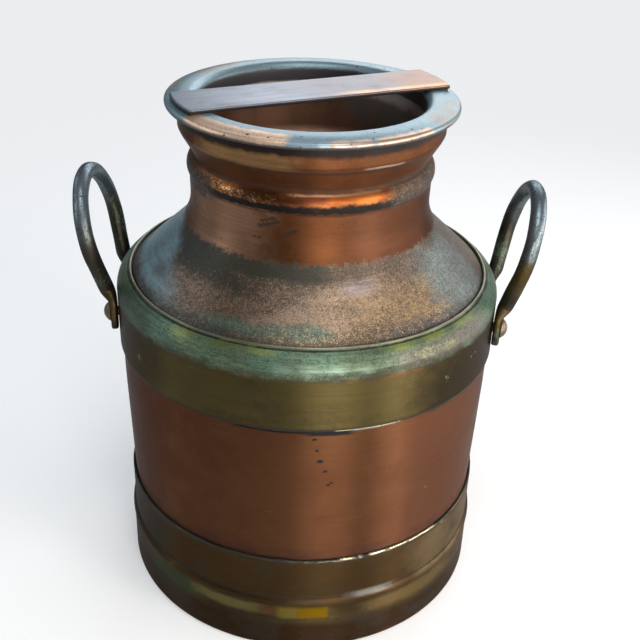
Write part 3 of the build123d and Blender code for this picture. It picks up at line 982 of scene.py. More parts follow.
        # Painted highlight: a thin pale line along the bead's upper edge.
        self.coat((self.field((-95, -56), (263.6, 264.8), (4, 0.3)), 0.7), (206, 160, 118), 1, 0.26)
        soiled = self.either(
            self.field((-190, -138), (250, 264), (6, 2)), self.field((-50, -10), (254, 268), (6, 2.5))
        )
        speckled = self.patches(220, 0.66, 0.1, 0.5, shift=(0.6, 0.1, 0.2))
        self.coat((soiled, speckled), (58, 52, 46), 0.3, 0.6)
        grains = self.speckle(self.times(soiled, 0.2), 2300)
        self.coat((grains, 0.6), (150, 124, 98), 0.8, 0.4)
        hollow = self.level(265.2, 277, 2, 4)
        # Painted reflections: darker upright bars in the hollow over the bead.
        reflection_bars = self.patches(34, 0.5, 0.3, 0.15, tall=0.5, shift=(0.9, 0, 0))
        self.coat((hollow, reflection_bars, 0.7), (82, 51, 35))
        mouth = self.level(278, 292, 2, 4)
        cloudy = self.patches(44, 0.55, 0.25, 0.3, tall=1.6)
        self.coat((mouth, cloudy), (90, 56, 36))
        self.coat((self.field((-140, -95), (277.6, 288), (8, 2)), 0.8), (166, 128, 86), 0.95, 0.34)
        self.coat((self.level(265.4, 292), self.brushing(1, 1.6), 0.4), (78, 50, 34))
        crease = self.level(276.5, 278, 0.4, 1.2, 60)
        self.coat((crease, 0.85), (46, 32, 26), 0.5, 0.5)
        glint = self.field((-66, -48), (278.5, 279.7), (2, 0.3))
        self.coat((glint, self.brushing(0.8, 2)), (214, 194, 176), 1, 0.26)
        # Painted shadow with some dirt: nearly black under the lid's flange.
        self.coat(self.level(285.6, 296, 1.5, 5), (30, 22, 18), 0.4, 0.55)
        pocks = self.specks(330, 0.34, 0.7, Shift=(0.2, 0.5, 0.1))
        self.coat((self.level(256, 292), pocks), (40, 28, 24), 0.3, 0.6, -1)


class CollarBrass(Finish):
    """Olive brass, with verdigris on its rounded top rubbed through to streaks of bare metal, and a painted
    highlight along it.
    """

    name = "collar_brass"
    bare = Bare((88, 77, 47), 1, 0.3, bump=0.2, streak=0.93, edge=FLAT_TINT)

    def lay(self) -> None:
        """Lays the coats."""
        self.coat(self.patches(9, 0.5, 0.5, 0.06), (86, 76, 46), 1, 0.33)
        self.turned(0.12)
        self.coat((self.brushing(), 0.4), (66, 58, 36))
        # Painted shade: the skirt darker towards both sides.
        sides_painted_shade = self.either(
            self.field((-54, -12), (150, 188), (12, 5)), self.times(
                self.field((-186, -132), (150, 188), (14, 5)), 0.6
            )
        )
        self.coat((sides_painted_shade, 0.9), (45, 38, 28), 0.95, 0.4)
        grime = self.patches(18, 0.35, 0.2, 0.35, tall=1.6, shift=(0.7, 0, 0))
        self.coat((grime, 0.5), (58, 52, 36), 0.85, 0.42)
        crust = self.stains(spots(110, (-46, 170, 5), (-142, 165, 6), (-33, 178, 6), (-136, 172, 4)), 0.8)
        self.coat((self.speckle(self.times(crust, 0.3), 700, Clumps=0.7), 0.6), (130, 130, 98), 0.8, 0.45)
        self.coat(self.level(150, 155.3, 0.4, 1.2), (40, 36, 28), 0.5, 0.5)
        self.verdigris()
        self.coat(self.worn("hollow", Amount=0.7), (34, 34, 28), 0.2, 0.7)
        self.coat(self.specks(420, 0.3, 0.3), (52, 46, 32), 0.3, 0.6, -0.5)
        self.coat(self.scratches(0.55), (160, 148, 108), 1, 0.36, -0.3)
        crest = self.times(self.level(198.75, 201, 0.2, 0.4), self.ring(101.7, 104, ragged=0))
        self.coat(crest, (176, 154, 134), 1, 0.36)
        tarnished = self.patches(50, 0.45, 0.2, 0.3)
        self.coat((crest, tarnished, 0.6), (100, 92, 80), 0.8, 0.45)

    def verdigris(self) -> None:
        """Lays the green film of the collar's rounded top."""
        thread = self.times(
            self.level(182.6, 185.4, 0.8, 6, 90),
            self.patches(70, 0.5, 0.2, 0.3),
            self.stains(spots(110, (-98, 184, 22), (-80, 184, 22), (-62, 184, 18), (90, 184, 50)), 0.6),
        )
        self.coat((thread, 0.85), (112, 76, 46), 0.8, 0.45)
        top = self.level(185.2, 215, 1.6, 10, 130)
        self.coat(top, (78, 92, 66), 0.5, 0.4, 0.15)
        teal = self.stains(
            spots(
                107, (-132, 193, 18), (-116, 194, 15), (-98, 193, 18), (-84, 192, 16), (-18, 193, 30),
                (176, 194, 40)
            ),
            0.9, 30
        )
        self.coat((top, teal, 0.9), (66, 104, 90), 0.35, 0.44)
        broad = self.patches(24, 0.42, 0.25, 0.2, tall=3)
        self.coat((top, broad, 0.5), (62, 74, 58), 0.4, 0.48)
        self.coat((top, self.brushing(1, 2.2), 0.65), (128, 154, 130), 0.7, 0.38)
        self.coat((top, self.brushing(0.7, 4.5), 0.4), (56, 66, 50), 0.5, 0.44)
        faded = self.field((-62, -26), (186, 195), (6, 2))
        self.coat((top, faded, 0.7), (112, 102, 100), 0.8, 0.42)
        self.coat((self.speckle(self.times(top, 0.36), 1900), 0.55), (48, 54, 42), 0.35, 0.52)
        under_lip = self.level(195.2, 198, 0.8, 3.6, 120)
        greenish = self.stains(
            spots(
                104, (-124, 197, 14), (-112, 197, 13), (-100, 197, 12), (-60, 197, 14), (-50, 197, 12),
                (-36, 197, 12)
            ),
            0.9, 60
        )
        bits = self.patches(90, 0.55, 0.25, 0.5, tall=2.5, shift=(0.1, 0.2, 0.5))
        self.coat((under_lip, greenish, bits), (138, 148, 84), 0.95, 0.36)
        golden = self.stains(
            spots(107, (-126, 195, 11), (-117, 194.5, 10), (-53, 191, 9), (-46, 191, 8)), 0.9, 90,
            (0.7, 0.7, 1.6)
        )
        flecks = self.speckle(self.times(top, golden, 0.36), 2300, shift=(0.8, 0.1, 0.2), tall=1.5)
        self.coat((flecks, 0.7), (156, 162, 108), 1, 0.36)
        # Painted highlight: icy pale streaks along the front of the rounded top.
        crest_highlight = self.stains(
            spots(108, (-94, 189.6, 7), (-87, 189.4, 8), (-80, 189.4, 8), (-73, 189.6, 6)), 0.9, 90,
            (0.7, 0.7, 1.6)
        )
        highlight_streaks = self.blend(self.brushing(0.6, 3), 0.35, 0.9)
        self.coat((top, crest_highlight, highlight_streaks, 0.6), (160, 182, 164), 0.85, 0.32)
        damp = self.stains(
            spots(108, (-142, 190, 18), (-154, 188, 20), (-128, 186, 12), (170, 190, 40)), 0.9
        )
        self.coat((top, damp, 0.55), (50, 64, 56), 0.35, 0.5)
        edge = self.level(183, 188.2, 1.4, 8, 140)
        self.coat((edge, self.patches(120, 0.55, 0.2, 0.5), 0.8), (52, 50, 38), 0.4, 0.5)


class BaseBrass(Finish):
    """Brown olive brass of the base, stained and worn yellow low down at the front."""

    name = "base_brass"
    bare = Bare((80, 60, 35), 1, 0.32, bump=0.2, streak=0.9, edge=FLAT_TINT)

    def lay(self) -> None:
        """Lays the coats."""
        self.coat(self.patches(10, 0.5, 0.5, 0.08), (68, 49, 28), 1, 0.36)
        self.turned(0.12)
        self.coat((self.brushing(), 0.4), (56, 46, 30))
        # Painted light with tarnish: paler brass towards the right side and round the back.
        paler_painted_light = self.stains(spots(108, (-40, 52, 34), (-22, 54, 34), (-30, 40, 20), (60, 50, 50)), 0.9, 30)
        self.coat((paler_painted_light, 0.85), (122, 105, 76), 1, 0.36)
        # Painted shade with tarnish: darker, greener brass towards the left side and round the back.
        greener_painted_shade = self.stains(spots(108, (-160, 48, 36), (-142, 46, 24), (170, 48, 40)), 0.9, 30)
        self.coat((greener_painted_shade, 0.9), (42, 45, 36), 0.9, 0.4)
        grime = self.patches(22, 0.4, 0.25, 0.3, tall=1.8, shift=(0.3, 0, 0))
        self.coat((grime, 0.55), (50, 42, 28), 0.85, 0.42)
        self.coat(self.patches(60, 0.24, 0.15, 0.4), (46, 42, 34), 0.5, 0.55)
        low = self.level(-5, 32.5, 2.5, 6, 60)
        self.coat(low, (50, 33, 16), 0.85, 0.4)
        # Painted reflection: a lighter olive band round the lower bulge.
        reflection_band = self.times(self.level(19, 31.5, 4, 8, 40), self.patches(16, 0.62, 0.3, 0.1))
        self.coat((reflection_band, 0.8), (88, 76, 44), 0.95, 0.38)
        stain = self.patches(40, 0.46, 0.22, 0.25, tall=2.2)
        self.coat((low, stain, 0.85), (46, 38, 28), 0.6, 0.46)
        for sector, heights, soft, colour, share in (
            ((-144, -120), (21, 31), (6, 3), (54, 66, 46), 0.85),
            ((-122, -100), (24, 32), (5, 2), (112, 102, 60), 0.85),
            ((-99.5, -94.5), (24, 32), (1.5, 1.6), (96, 66, 46), 0.7),
            ((-94.5, -87.5), (23.5, 32), (1.6, 1.6), (118, 102, 44), 0.85),
            ((-78, -70), (24, 33), (3, 2.5), (54, 39, 28), 0.6),
            ((-67, -34), (22, 31), (5, 2.5), (108, 90, 56), 0.85),
            ((-88.2, -79.4), (23.2, 31.6), (0.7, 0.9), (118, 90, 6), 0.95),
        ):
            self.coat((low, self.field(sector, heights, soft), share), colour, 0.95, 0.36)
        self.coat(self.level(62.5, 64.6, 0.4, 1.5), (46, 40, 30), 0.5, 0.5)
        self.coat(self.worn("hollow", Amount=0.7), (36, 29, 22), 0.3, 0.6)
        self.coat(self.specks(420, 0.3, 0.35), (44, 38, 28), 0.3, 0.6, -0.5)
        self.coat(self.scratches(0.5), (150, 134, 100), 1, 0.36, -0.3)
        bare = self.times(
            self.worn("ridge", Amount=0.3), self.blend(self.field((-84, -30), (30, 70), (8, 4)), 0.12, 0.5)
        )
        self.coat(bare, (150, 132, 98), 1, 0.34)
        gleam = self.times(self.level(35.6, 39.6, 1.6, 2), self.field((-72, -60), (35, 40), (4, 1)))
        self.coat((gleam, 0.36), (168, 170, 164), 1, 0.32)


class LidCopper(Finish):
    """Tinned copper lid: blue-grey flange rubbed pink in places, brown pan."""

    name = "lid_copper"
    bare = Bare((126, 90, 68), 0.6, 0.46, bump=0.2, streak=0.2)

    def lay(self) -> None:
        """Lays the coats."""
        self.coat(self.patches(24, 0.5, 0.35, 0.2), (92, 68, 54), 0.5, 0.5)
        reddish = self.stains(spots(60, (118, 264, 22), (134, 264, 20)), 0.9, 40)
        self.coat((reddish, 0.8), (166, 122, 98), 0.6, 0.46)
        grey = self.stains(spots(60, (40, 274, 26), (14, 274, 26), (62, 276, 16)), 0.7, 40)
        self.coat((grey, 0.85), (86, 87, 84), 0.5, 0.46)
        # Painted light: the upper inner wall of the pan much paler, where little light reaches it.
        upper_painted_light = self.level(281, 293, 4, 10, 50)
        self.coat(upper_painted_light, (212, 188, 174), 0.2, 0.42)
        self.coat((upper_painted_light, grey), (128, 134, 132), 0.3, 0.42)
        flange = self.level(291.8, 300, 0.8, 2, 120)
        self.coat(flange, (132, 152, 160), 0.55, 0.4)
        cloud = self.patches(22, 0.5, 0.45, 0.1)
        self.coat((flange, cloud, 0.8), (112, 140, 152), 0.5, 0.42)
        front = self.stains(
            spots(76, (-136, 296, 11), (-127, 296, 12), (-118, 296, 12), (-109, 296, 11), (-102, 295.6, 8)),
            0.5, 70
        )
        front = self.times(front, self.ring(71, 90, 1.4, 7, 60))
        side = self.stains(
            spots(
                79, (-78, 295, 7), (-70, 295, 8), (-61, 295, 9), (-52, 295, 9), (-43, 295, 7),
                (172, 296, 14), (120, 296, 12), (60, 296, 12)
            ),
            0.6, 60
        )
        side = self.times(side, self.ring(75.2, 90, 1, 6, 90))
        faint = self.stains(
            spots(
                74, (-28, 296, 11), (-17, 296, 10), (-6, 296, 9), (150, 296, 13), (136, 296, 12),
                (34, 296, 14)
            ),
            0.9, 60
        )
        self.coat((flange, faint, 0.8), (146, 128, 114), 0.7, 0.42)
        self.coat((flange, front, 0.92), (238, 200, 170), 0.75, 0.38)
        self.coat((flange, side, 0.92), (206, 174, 150), 0.85, 0.34)
        self.coat((self.speckle(self.times(flange, 0.3), 1900), 0.3), (84, 96, 100), 0.5, 0.46)
        pits = self.specks(380, 0.34, 0.6)
        self.coat((flange, pits), (48, 46, 48), 0.3, 0.6, -0.6)
        chips = self.stains(
            spots(76, (-112, 295.8, 1.3), (-104, 295.8, 0.9), (-121, 296, 0.8), (-66, 295.4, 0.8)), 0.5
        )
        self.coat(chips, (60, 68, 76), 0.3, 0.6, -1)
        # Painted shade: darker purple grey under the flange's rolled edge and round the top of the pan's
        # wall.
        self.coat(self.level(286, 293.4, 0.8, 2), (66, 64, 68), 0.5, 0.5)
        gleam = self.times(
            self.stains(spots(79, (-84, 294.6, 4), (-78, 294.6, 5), (-70, 294.6, 4)), 0.6),
            self.level(293.6, 295.2, 0.3, 0),
        )
        self.coat((gleam, 0.35), (190, 198, 208), 1, 0.3)


class StrapMetal(Finish):
    """Worn tinned bar, brushed along its length: lilac grey with warm copper at one end, a painted highlight
    along its front edge and painted shade on its sides.
    """

    name = "strap_metal"
    bare = Bare((118, 126, 140), 0.75, 0.42, bump=0.15)

    def lay(self) -> None:
        """Lays the coats."""
        turned = self.out(
            "ShaderNodeMapping", {"Vector": self.place, "Rotation": (0, 0, -math.radians(STRAP_ANGLE))}
        )
        lengthened = self.vector("MULTIPLY", turned, (14, 260, 60))
        brushed = self.noise(lengthened, 1, 5, 0.7)
        self.coat(self.step(brushed, 0.42, 0.66), (138, 136, 144), 0.85, 0.4)
        middle = self.stains(spots(22, (26, 298.8, 52)), 0.8, 20)
        self.coat(middle, (118, 110, 114), 0.85, 0.4)
        warm = self.stains(spots(72, (24, 298.8, 40)), 0.75, 30)
        self.coat((warm, 0.9), (146, 106, 80), 0.9, 0.4)
        sides = self.node("ShaderNodeSeparateXYZ", {"Vector": turned})
        # Painted highlight: warm gold streaks along the strap's front edge, towards one end.
        edge = self.band(sides.outputs["Y"], -17.5, -11.2, 1.2, 4)
        reach = self.band(sides.outputs["X"], 12, 90, 14, 10)
        edge_highlight = self.times(edge, reach, self.step(brushed, 0.36, 0.54))
        self.coat((edge_highlight, 0.85), (190, 140, 92), 1, 0.34)
        smoke = self.patches(70, 0.35, 0.2, 0.4)
        self.coat((smoke, 0.6), (104, 98, 102), 0.7, 0.46)
        self.coat(self.specks(500, 0.4, 0.35), (70, 62, 60), 0.5, 0.55, -0.4)
        # Painted shade: the strap's side faces dark.
        self.coat(self.level(295, 298.2, 0.2, 0), (40, 34, 32), 0.5, 0.6)
        self.relief(brushed, 0.6)


class HandleBronze(Finish):
    """Dark hammered rod, lighter blue-grey on top as rubbed metal and painted highlight, golden and green in
    places.
    """

    name = "handle_bronze"
    bare = Bare((58, 54, 46), 0.9, 0.36, bump=0.3, edge=(190, 190, 190))

    def lay(self) -> None:
        """Lays the coats."""
        self.coat(self.patches(45, 0.5, 0.25, 0.3), (52, 48, 42), 0.85, 0.42)
        # Partly painted highlight: the loop's top lighter blue-grey, as rubbed metal lit from above.
        upper_painted_light = self.level(226, 262, 14, 30, 40)
        self.coat(upper_painted_light, (124, 138, 146), 0.85, 0.34)
        golden = self.stains(
            [Spot(-14, 207, 122, 15), Spot(-14, 180, 112, 12), Spot(194, 178, 112, 12)], scale=60
        )
        self.coat((golden, 0.85), (84, 68, 36), 0.9, 0.42)
        green = self.patches(60, 0.34, 0.12, 0.4, shift=(0.1, 0.6, 0))
        self.coat((green, 0.8), (84, 108, 88), 0.4, 0.5)
        dark = self.patches(90, 0.34, 0.15, 0.4, shift=(0.5, 0, 0))
        self.coat((dark, 0.55), (46, 44, 42), 0.5, 0.46)
        self.coat((self.speckle(0.24, 1500), 0.6), (36, 34, 30), 0.3, 0.6, -0.2)
        self.relief(self.noise(self.place, 180, 3), 0.8)


class RivetCopper(Finish):
    """Tarnished copper rivets with rubbed heads."""

    name = "rivet_copper"
    bare = Bare((112, 100, 86), 0.9, 0.4, bump=0.25)

    def lay(self) -> None:
        """Lays the coats."""
        self.coat(self.patches(120, 0.5, 0.2, 0.3), (98, 80, 64), 0.8, 0.45)
        self.coat(self.patches(160, 0.3, 0.1, shift=(0.2, 0, 0)), (60, 58, 44), 0.4, 0.6)


class TinSolder(Finish):
    """Dirty solder, with bright tin where it was dressed at the front."""

    name = "solder"
    bare = Bare((32, 28, 23), 0.4, 0.6, bump=0.3)

    def lay(self) -> None:
        """Lays the coats."""
        self.coat(self.patches(90, 0.3, 0.15, 0.3), (56, 50, 40), 0.7, 0.5)
        bright = self.stains(
            [
                *spots(107, (-73, 65, 8), (-62, 65, 10), (-54, 65, 10), (-46, 65, 8)),
                *spots(109, (-76, 154, 8), (-70, 154, 8), (-64, 154, 7))
            ],
            0.4, 60
        )
        bits = self.patches(110, 0.62, 0.1, 0.3, shift=(0.2, 0.6, 0.1))
        self.coat((bright, bits), (214, 210, 178), 1, 0.28)


class IronWire(Finish):
    """Black iron, hidden inside the curled edges."""

    name = "iron_wire"
    bare = Bare((58, 52, 48), 0.8, 0.55, bump=0.3)

    def lay(self) -> None:
        """Lays the coats."""
        self.coat(self.patches(90, 0.4, 0.2), (92, 58, 38), 0.1, 0.8)


@dataclass
class Workshop:
    """Makes each finish once and puts pieces on their bodies."""

    finishes: dict[str, Material] = field(default_factory=dict)

    def finish(self, slot: str) -> Material:
        """Gives the finish of a material slot."""
        if slot not in self.finishes:
            kind = next(kind for kind in Finish.__subclasses__() if kind.name == slot)
            self.finishes[slot] = kind().made()
        return self.finishes[slot]

    def place(self, piece: Piece, body: Body, slot: str, *nodes: str) -> None:
        """Puts a piece on its body in place of its solids.

        Args:
            piece: the piece, in place.
            body: what it rides on.
            slot: the material slot that its finish comes from; not used here.
            nodes: the solids that it stands for.
        """
        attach(piece, body.value)
        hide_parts(*nodes)
        LOG.info(
            "%s: %d faces on %s, for %s", piece.name, len(piece.data.polygons), body.value, ", ".join(nodes)
        )

    def spin(
        self, name: str, outline: Sequence[Point], uneven: Unevenness, slot: str, node: str,
        body: Body = Body.POT
    ) -> None:
        """Spins a sheet from its outline and puts it in place of a solid."""
        self.place(spun(name, outline, self.finish(slot), uneven), body, slot, node)

    def dress(self, node: str, slot: str) -> None:
        """Gives a solid that stays its finish."""
        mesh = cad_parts[node].data
        mesh.materials.clear()
        mesh.materials.append(self.finish(slot))
        LOG.info("%s: kept as it is", node)


# Geometry Nodes trees


class Pattern(Graph):
    """A Geometry Nodes tree with named inputs, and what it makes as a plain mesh."""

    def __init__(self, name: str, *labels: str) -> None:
        """Starts the tree with its inputs: numbers, but for the form and the material, which comes last."""
        super().__init__(bpy.data.node_groups.new(name, "GeometryNodeTree"))
        kinds = {"Form": "NodeSocketObject", "Material": "NodeSocketMaterial"}
        self.identifiers: dict[str, str] = {}
        for label in (*labels, "Material"):
            kind = kinds.get(label, FLOAT)
            socket = self.tree.interface.new_socket(label, in_out="INPUT", socket_type=kind)
            self.identifiers[label] = socket.identifier
        self.tree.interface.new_socket("Geometry", in_out="OUTPUT", socket_type="NodeSocketGeometry")
        self.given = self.node("NodeGroupInput").outputs

    def jitter(self, geometry: Any, amount: Any, scale: Any, seed: Any) -> Socket:
        """Moves a mesh's points along their normals by a noise of some amount, scale and seed."""
        noise = self.out(
            "ShaderNodeTexNoise", {"W": seed, "Scale": scale, "Detail": 3.0}, noise_dimensions="4D"
        )
        level = self.times(self.minus(noise, 0.5), amount)
        normal = self.out("GeometryNodeInputNormal")
        shift = self.out("ShaderNodeVectorMath", {0: normal, "Scale": level}, operation="SCALE")
        return self.out("GeometryNodeSetPosition", {"Geometry": geometry, "Offset": shift})

    def close(self, geometry: Any) -> None:
        """Ends the tree: realised, and with its material."""
        real = self.out("GeometryNodeRealizeInstances", {"Geometry": geometry})
        coated = self.out("GeometryNodeSetMaterial", {"Geometry": real, "Material": self.given["Material"]})
        self.node("NodeGroupOutput", {0: coated})

    def make(self, name: str, material: Material, **values: Any) -> Piece:
        """Runs the tree and keeps its result as a plain mesh.

        Args:
            name: the piece's name.
            material: its finish.
            values: the tree's inputs, by name with _ for a space.

        Returns:
            The piece.
        """
        carrier = added(name, bpy.data.meshes.new(name))
        modifier = carrier.modifiers.new(self.tree.name, "NODES")
        modifier.node_group = self.tree
        modifier[self.identifiers["Material"]] = material
        for label, value in values.items():
            modifier[self.identifiers[label.replace("_", " ")]] = value
        carrier.update_tag()
        bpy.context.view_layer.update()
        depsgraph = bpy.context.evaluated_depsgraph_get()
        mesh = bpy.data.meshes.new_from_object(carrier.evaluated_get(depsgraph))
        carrier.modifiers.remove(modifier)
        bpy.data.objects.remove(carrier)
        return own_mesh(name, mesh, material)


def solder_run_pattern() -> Pattern:
    """A lumpy run of solder round the pot."""
    graph = Pattern("solder_run", "Ring Radius", "Ring Height", "Run Radius", "Lumps", "Lump Scale", "Seed")
    given = graph.given
    ring = graph.out("GeometryNodeCurvePrimitiveCircle", {"Resolution": 900, "Radius": given["Ring Radius"]})
    level = graph.out("ShaderNodeCombineXYZ", {"Z": given["Ring Height"]})
    raised = graph.out("GeometryNodeSetPosition", {"Geometry": ring, "Offset": level})
    section = graph.out(
        "GeometryNodeCurvePrimitiveCircle", {"Resolution": 10, "Radius": given["Run Radius"]}
    )
    run = graph.out("GeometryNodeCurveToMesh", {"Curve": raised, "Profile Curve": section})
    graph.close(graph.jitter(run, given["Lumps"], given["Lump Scale"], given["Seed"]))
    return graph


def rivet_pattern() -> Pattern:
    """Four fastenings, two for each handle, each hammered a little differently."""
    graph = Pattern("handle_fastenings", "Form", "Seat Radius", "Seat Height", "Spread", "Hammering", "Seed")
    given = graph.given
    index = graph.out("GeometryNodeInputIndex")
    side = graph.math("FLOOR", graph.math("DIVIDE", index, 2.0))
    turn = graph.minus(graph.times(graph.math("MODULO", index, 2.0), 2.0), 1.0)
    angle = graph.plus(graph.times(side, math.pi), graph.times(turn, given["Spread"]))
    across = graph.math("COSINE", angle)
    depth = graph.math("SINE", angle)
    outward = graph.out("ShaderNodeCombineXYZ", {"X": across, "Y": depth})
    reach = graph.out("ShaderNodeVectorMath", {0: outward, "Scale": given["Seat Radius"]}, operation="SCALE")
    level = graph.out("ShaderNodeCombineXYZ", {"Z": given["Seat Height"]})
    seat = graph.vector("ADD", reach, level)
    points = graph.out("GeometryNodePoints", {"Count": 4, "Position": seat})
    form = graph.node("GeometryNodeObjectInfo", {"Object": given["Form"]})
    facing = graph.out("FunctionNodeAlignRotationToVector", {"Vector": outward}, axis="Z")
    set_out = graph.out(
        "GeometryNodeInstanceOnPoints",
        {"Points": points, "Instance": form.outputs["Geometry"], "Rotation": facing},
    )
    real = graph.out("GeometryNodeRealizeInstances", {"Geometry": set_out})
    graph.close(graph.jitter(real, given["Hammering"], 260.0, given["Seed"]))
    return graph


# Sub-assemblies


@dataclass(frozen=True)
class SolderRun:
    """A lumpy run of solder round the pot. Sizes in mm."""

    name: str
    node: str
    ring: float
    height: float
    radius: float
    lumps: float
    scale: float
    seed: float

    def lay(self, shop: Workshop, pattern: Pattern) -> None:
        """Makes the run and puts it in place."""
        run = pattern.make(
            self.name, shop.finish("solder"), Ring_Radius=self.ring * MM, Ring_Height=self.height * MM,
            Run_Radius=self.radius * MM, Lumps=self.lumps * MM, Lump_Scale=self.scale, Seed=self.seed,
        )
        shop.place(run, Body.POT, "solder", self.node)


@dataclass
class Wall:
    """The pot's copper wall and its bottom. Sizes in mm."""

    foot_radius: float = 106.2
    top_radius: float = 108.4
    foot_height: float = 5.8
    band_height: float = 64.3
    swell_end: float = 134.3
    sweep: float = 300.0
    top_height: float = 186.7
    sheet: float = 1.2
    plate_radius: float = 104.8
    plate_height: float = 16.0
    plate_corner: float = 4.0
    plate_crown: float = 3.0
    uneven: Unevenness = Unevenness(
        0.3,
        (
            Dent(-176.0, 78.0, 6.0, 0.9),
            Dent(-60.0, 100.0, 26.0, -0.35),
            Dent(-118.0, 120.0, 32.0, -0.35),
            Dent(-84.0, 92.0, 22.0, -0.2),
        ),
    )

    def build(self, shop: Workshop) -> None:
        """Makes the wall and the bottom plate."""
        wall = rounded(
            [
                (self.foot_radius, self.foot_height, 0),
                (self.foot_radius, self.band_height, self.sweep),
                (self.top_radius, self.swell_end, self.sweep),
                (self.top_radius, self.top_height, 0),
            ]
        )
        outline = folded(wall, self.sheet, Sheet.LEFT)
        shop.spin("body_wall", outline, self.uneven, "body_copper", "body_shell")
        crown_reach = self.plate_radius - 2 * self.plate_corner
        rim = rounded(
            [
                (self.plate_radius, self.foot_height, 0),
                (self.plate_radius, self.plate_height, self.plate_corner),
                (crown_reach, self.plate_height, 0),
            ]
        )
        dome = bow(
            (crown_reach, self.plate_height),
            (0.001, self.plate_height + self.plate_crown),
            (-crown_reach, self.plate_height),
        )
        line = rim[:-1] + [point for point in dome if point[0] >= 0]
        line.append((0.0, self.plate_height + self.plate_crown))
        plate = folded(line[::-1], self.sheet, Sheet.RIGHT, 3.0)
        shop.spin("bottom_disc", plate, Unevenness(0.0), "body_copper", "bottom_plate")
        shop.dress("bottom_solder", "solder")


@dataclass
class BaseBand:
    """The brass band round the foot, with its ridge and rolled foot. Sizes in mm."""

    radius: float = 107.9
    lower_radius: float = 108.9
    height: float = 64.3
    ridge_height: float = 34.0
    ridge_proud: float = 1.5
    ridge_half: float = 3.2
    sheet: float = 1.5
    curl_radius: float = 3.0
    curl_height: float = 2.5
    solder: SolderRun = SolderRun("base_solder_run", "base_solder", 106.9, 64.4, 0.85, 1.6, 130.0, 3.0)

    def build(self, shop: Workshop, pattern: Pattern) -> None:
        """Makes the band and the solder on its top edge."""
        centre = (self.lower_radius - self.curl_radius, self.curl_height)
        ridge = bow(
            (self.lower_radius, self.ridge_height - self.ridge_half),
            (self.radius + self.ridge_proud, self.ridge_height),
            (self.radius, self.ridge_height + self.ridge_half),
        )
        curl = [(x, max(y, 0.0)) for x, y in arc(centre, self.curl_radius, -285, 0)]
        line = curl + [(self.lower_radius, self.ridge_height - 2 * self.ridge_half)] + ridge
        line += [(self.radius - 0.15, (self.height + self.ridge_height) / 2), (self.radius, self.height)]
        outline = folded(line, self.sheet, Sheet.LEFT)
        outline = [(x, max(y, 0.0)) for x, y in outline]
        shop.spin("base_hoop", outline, Unevenness(0.3), "base_brass", "base_band")
        shop.dress("foot_wire", "iron_wire")
        self.solder.lay(shop, pattern)


@dataclass
class Shoulder:
    """The brass collar with its rounded top and raised lip. Sizes in mm."""

    radius: float = 110.1
    hem_height: float = 154.3
    skirt_top: float = 186.9
    round_radius: float = 11.7
    round_angle: float = 68.0
    sheet: float = 1.5
    lip_radius: float = 102.78
    lip_sheet: float = 1.4
    lip_top: float = 199.05
    lip_height: float = 4.5
    solders: tuple[SolderRun, ...] = (
        SolderRun("hem_solder_run", "hem_solder", 109.0, 154.2, 0.7, 1.3, 120.0, 11.0),
        SolderRun("lip_solder_run", "lip_solder", 101.0, 195.45, 0.6, 0.7, 120.0, 17.0),
    )

    def build(self, shop: Workshop, pattern: Pattern) -> None:
        """Makes the collar and the solder at its hem and inside its lip."""
        centre = (self.radius - self.round_radius, self.skirt_top)
        top = arc(centre, self.round_radius, 0, self.round_angle, 4.0)
        crest = self.lip_radius - self.lip_sheet / 2
        outer, inner, level = self.lip_radius, self.lip_radius - self.lip_sheet, self.lip_top
        lip = [
            (outer, top[-1][1] + 0.1),
            (outer, level - 0.6),
            (outer - 0.25, level - 0.15),
            (crest, level),
            (inner + 0.25, level - 0.15),
            (inner, level - 0.6),
            (inner, level - self.lip_height + 0.4),
            (inner + 0.4, level - self.lip_height),
        ]
        inside = arc(centre, self.round_radius - self.sheet, self.round_angle - 4, 0, 4.0)
        hem = self.radius - self.sheet / 2
        outline = divided(
            [
                (self.radius, self.hem_height + 0.6), *top, *lip, *inside,
                (self.radius - self.sheet, self.hem_height + 0.6)
            ],
            2.0,
        )
        outline += [
            (hem - 0.5, self.hem_height + 0.1), (hem, self.hem_height), (hem + 0.5, self.hem_height + 0.1)
        ]
        shop.spin("shoulder_hoop", outline, Unevenness(0.3), "collar_brass", "shoulder_collar")
        for run in self.solders:
            run.lay(shop, pattern)


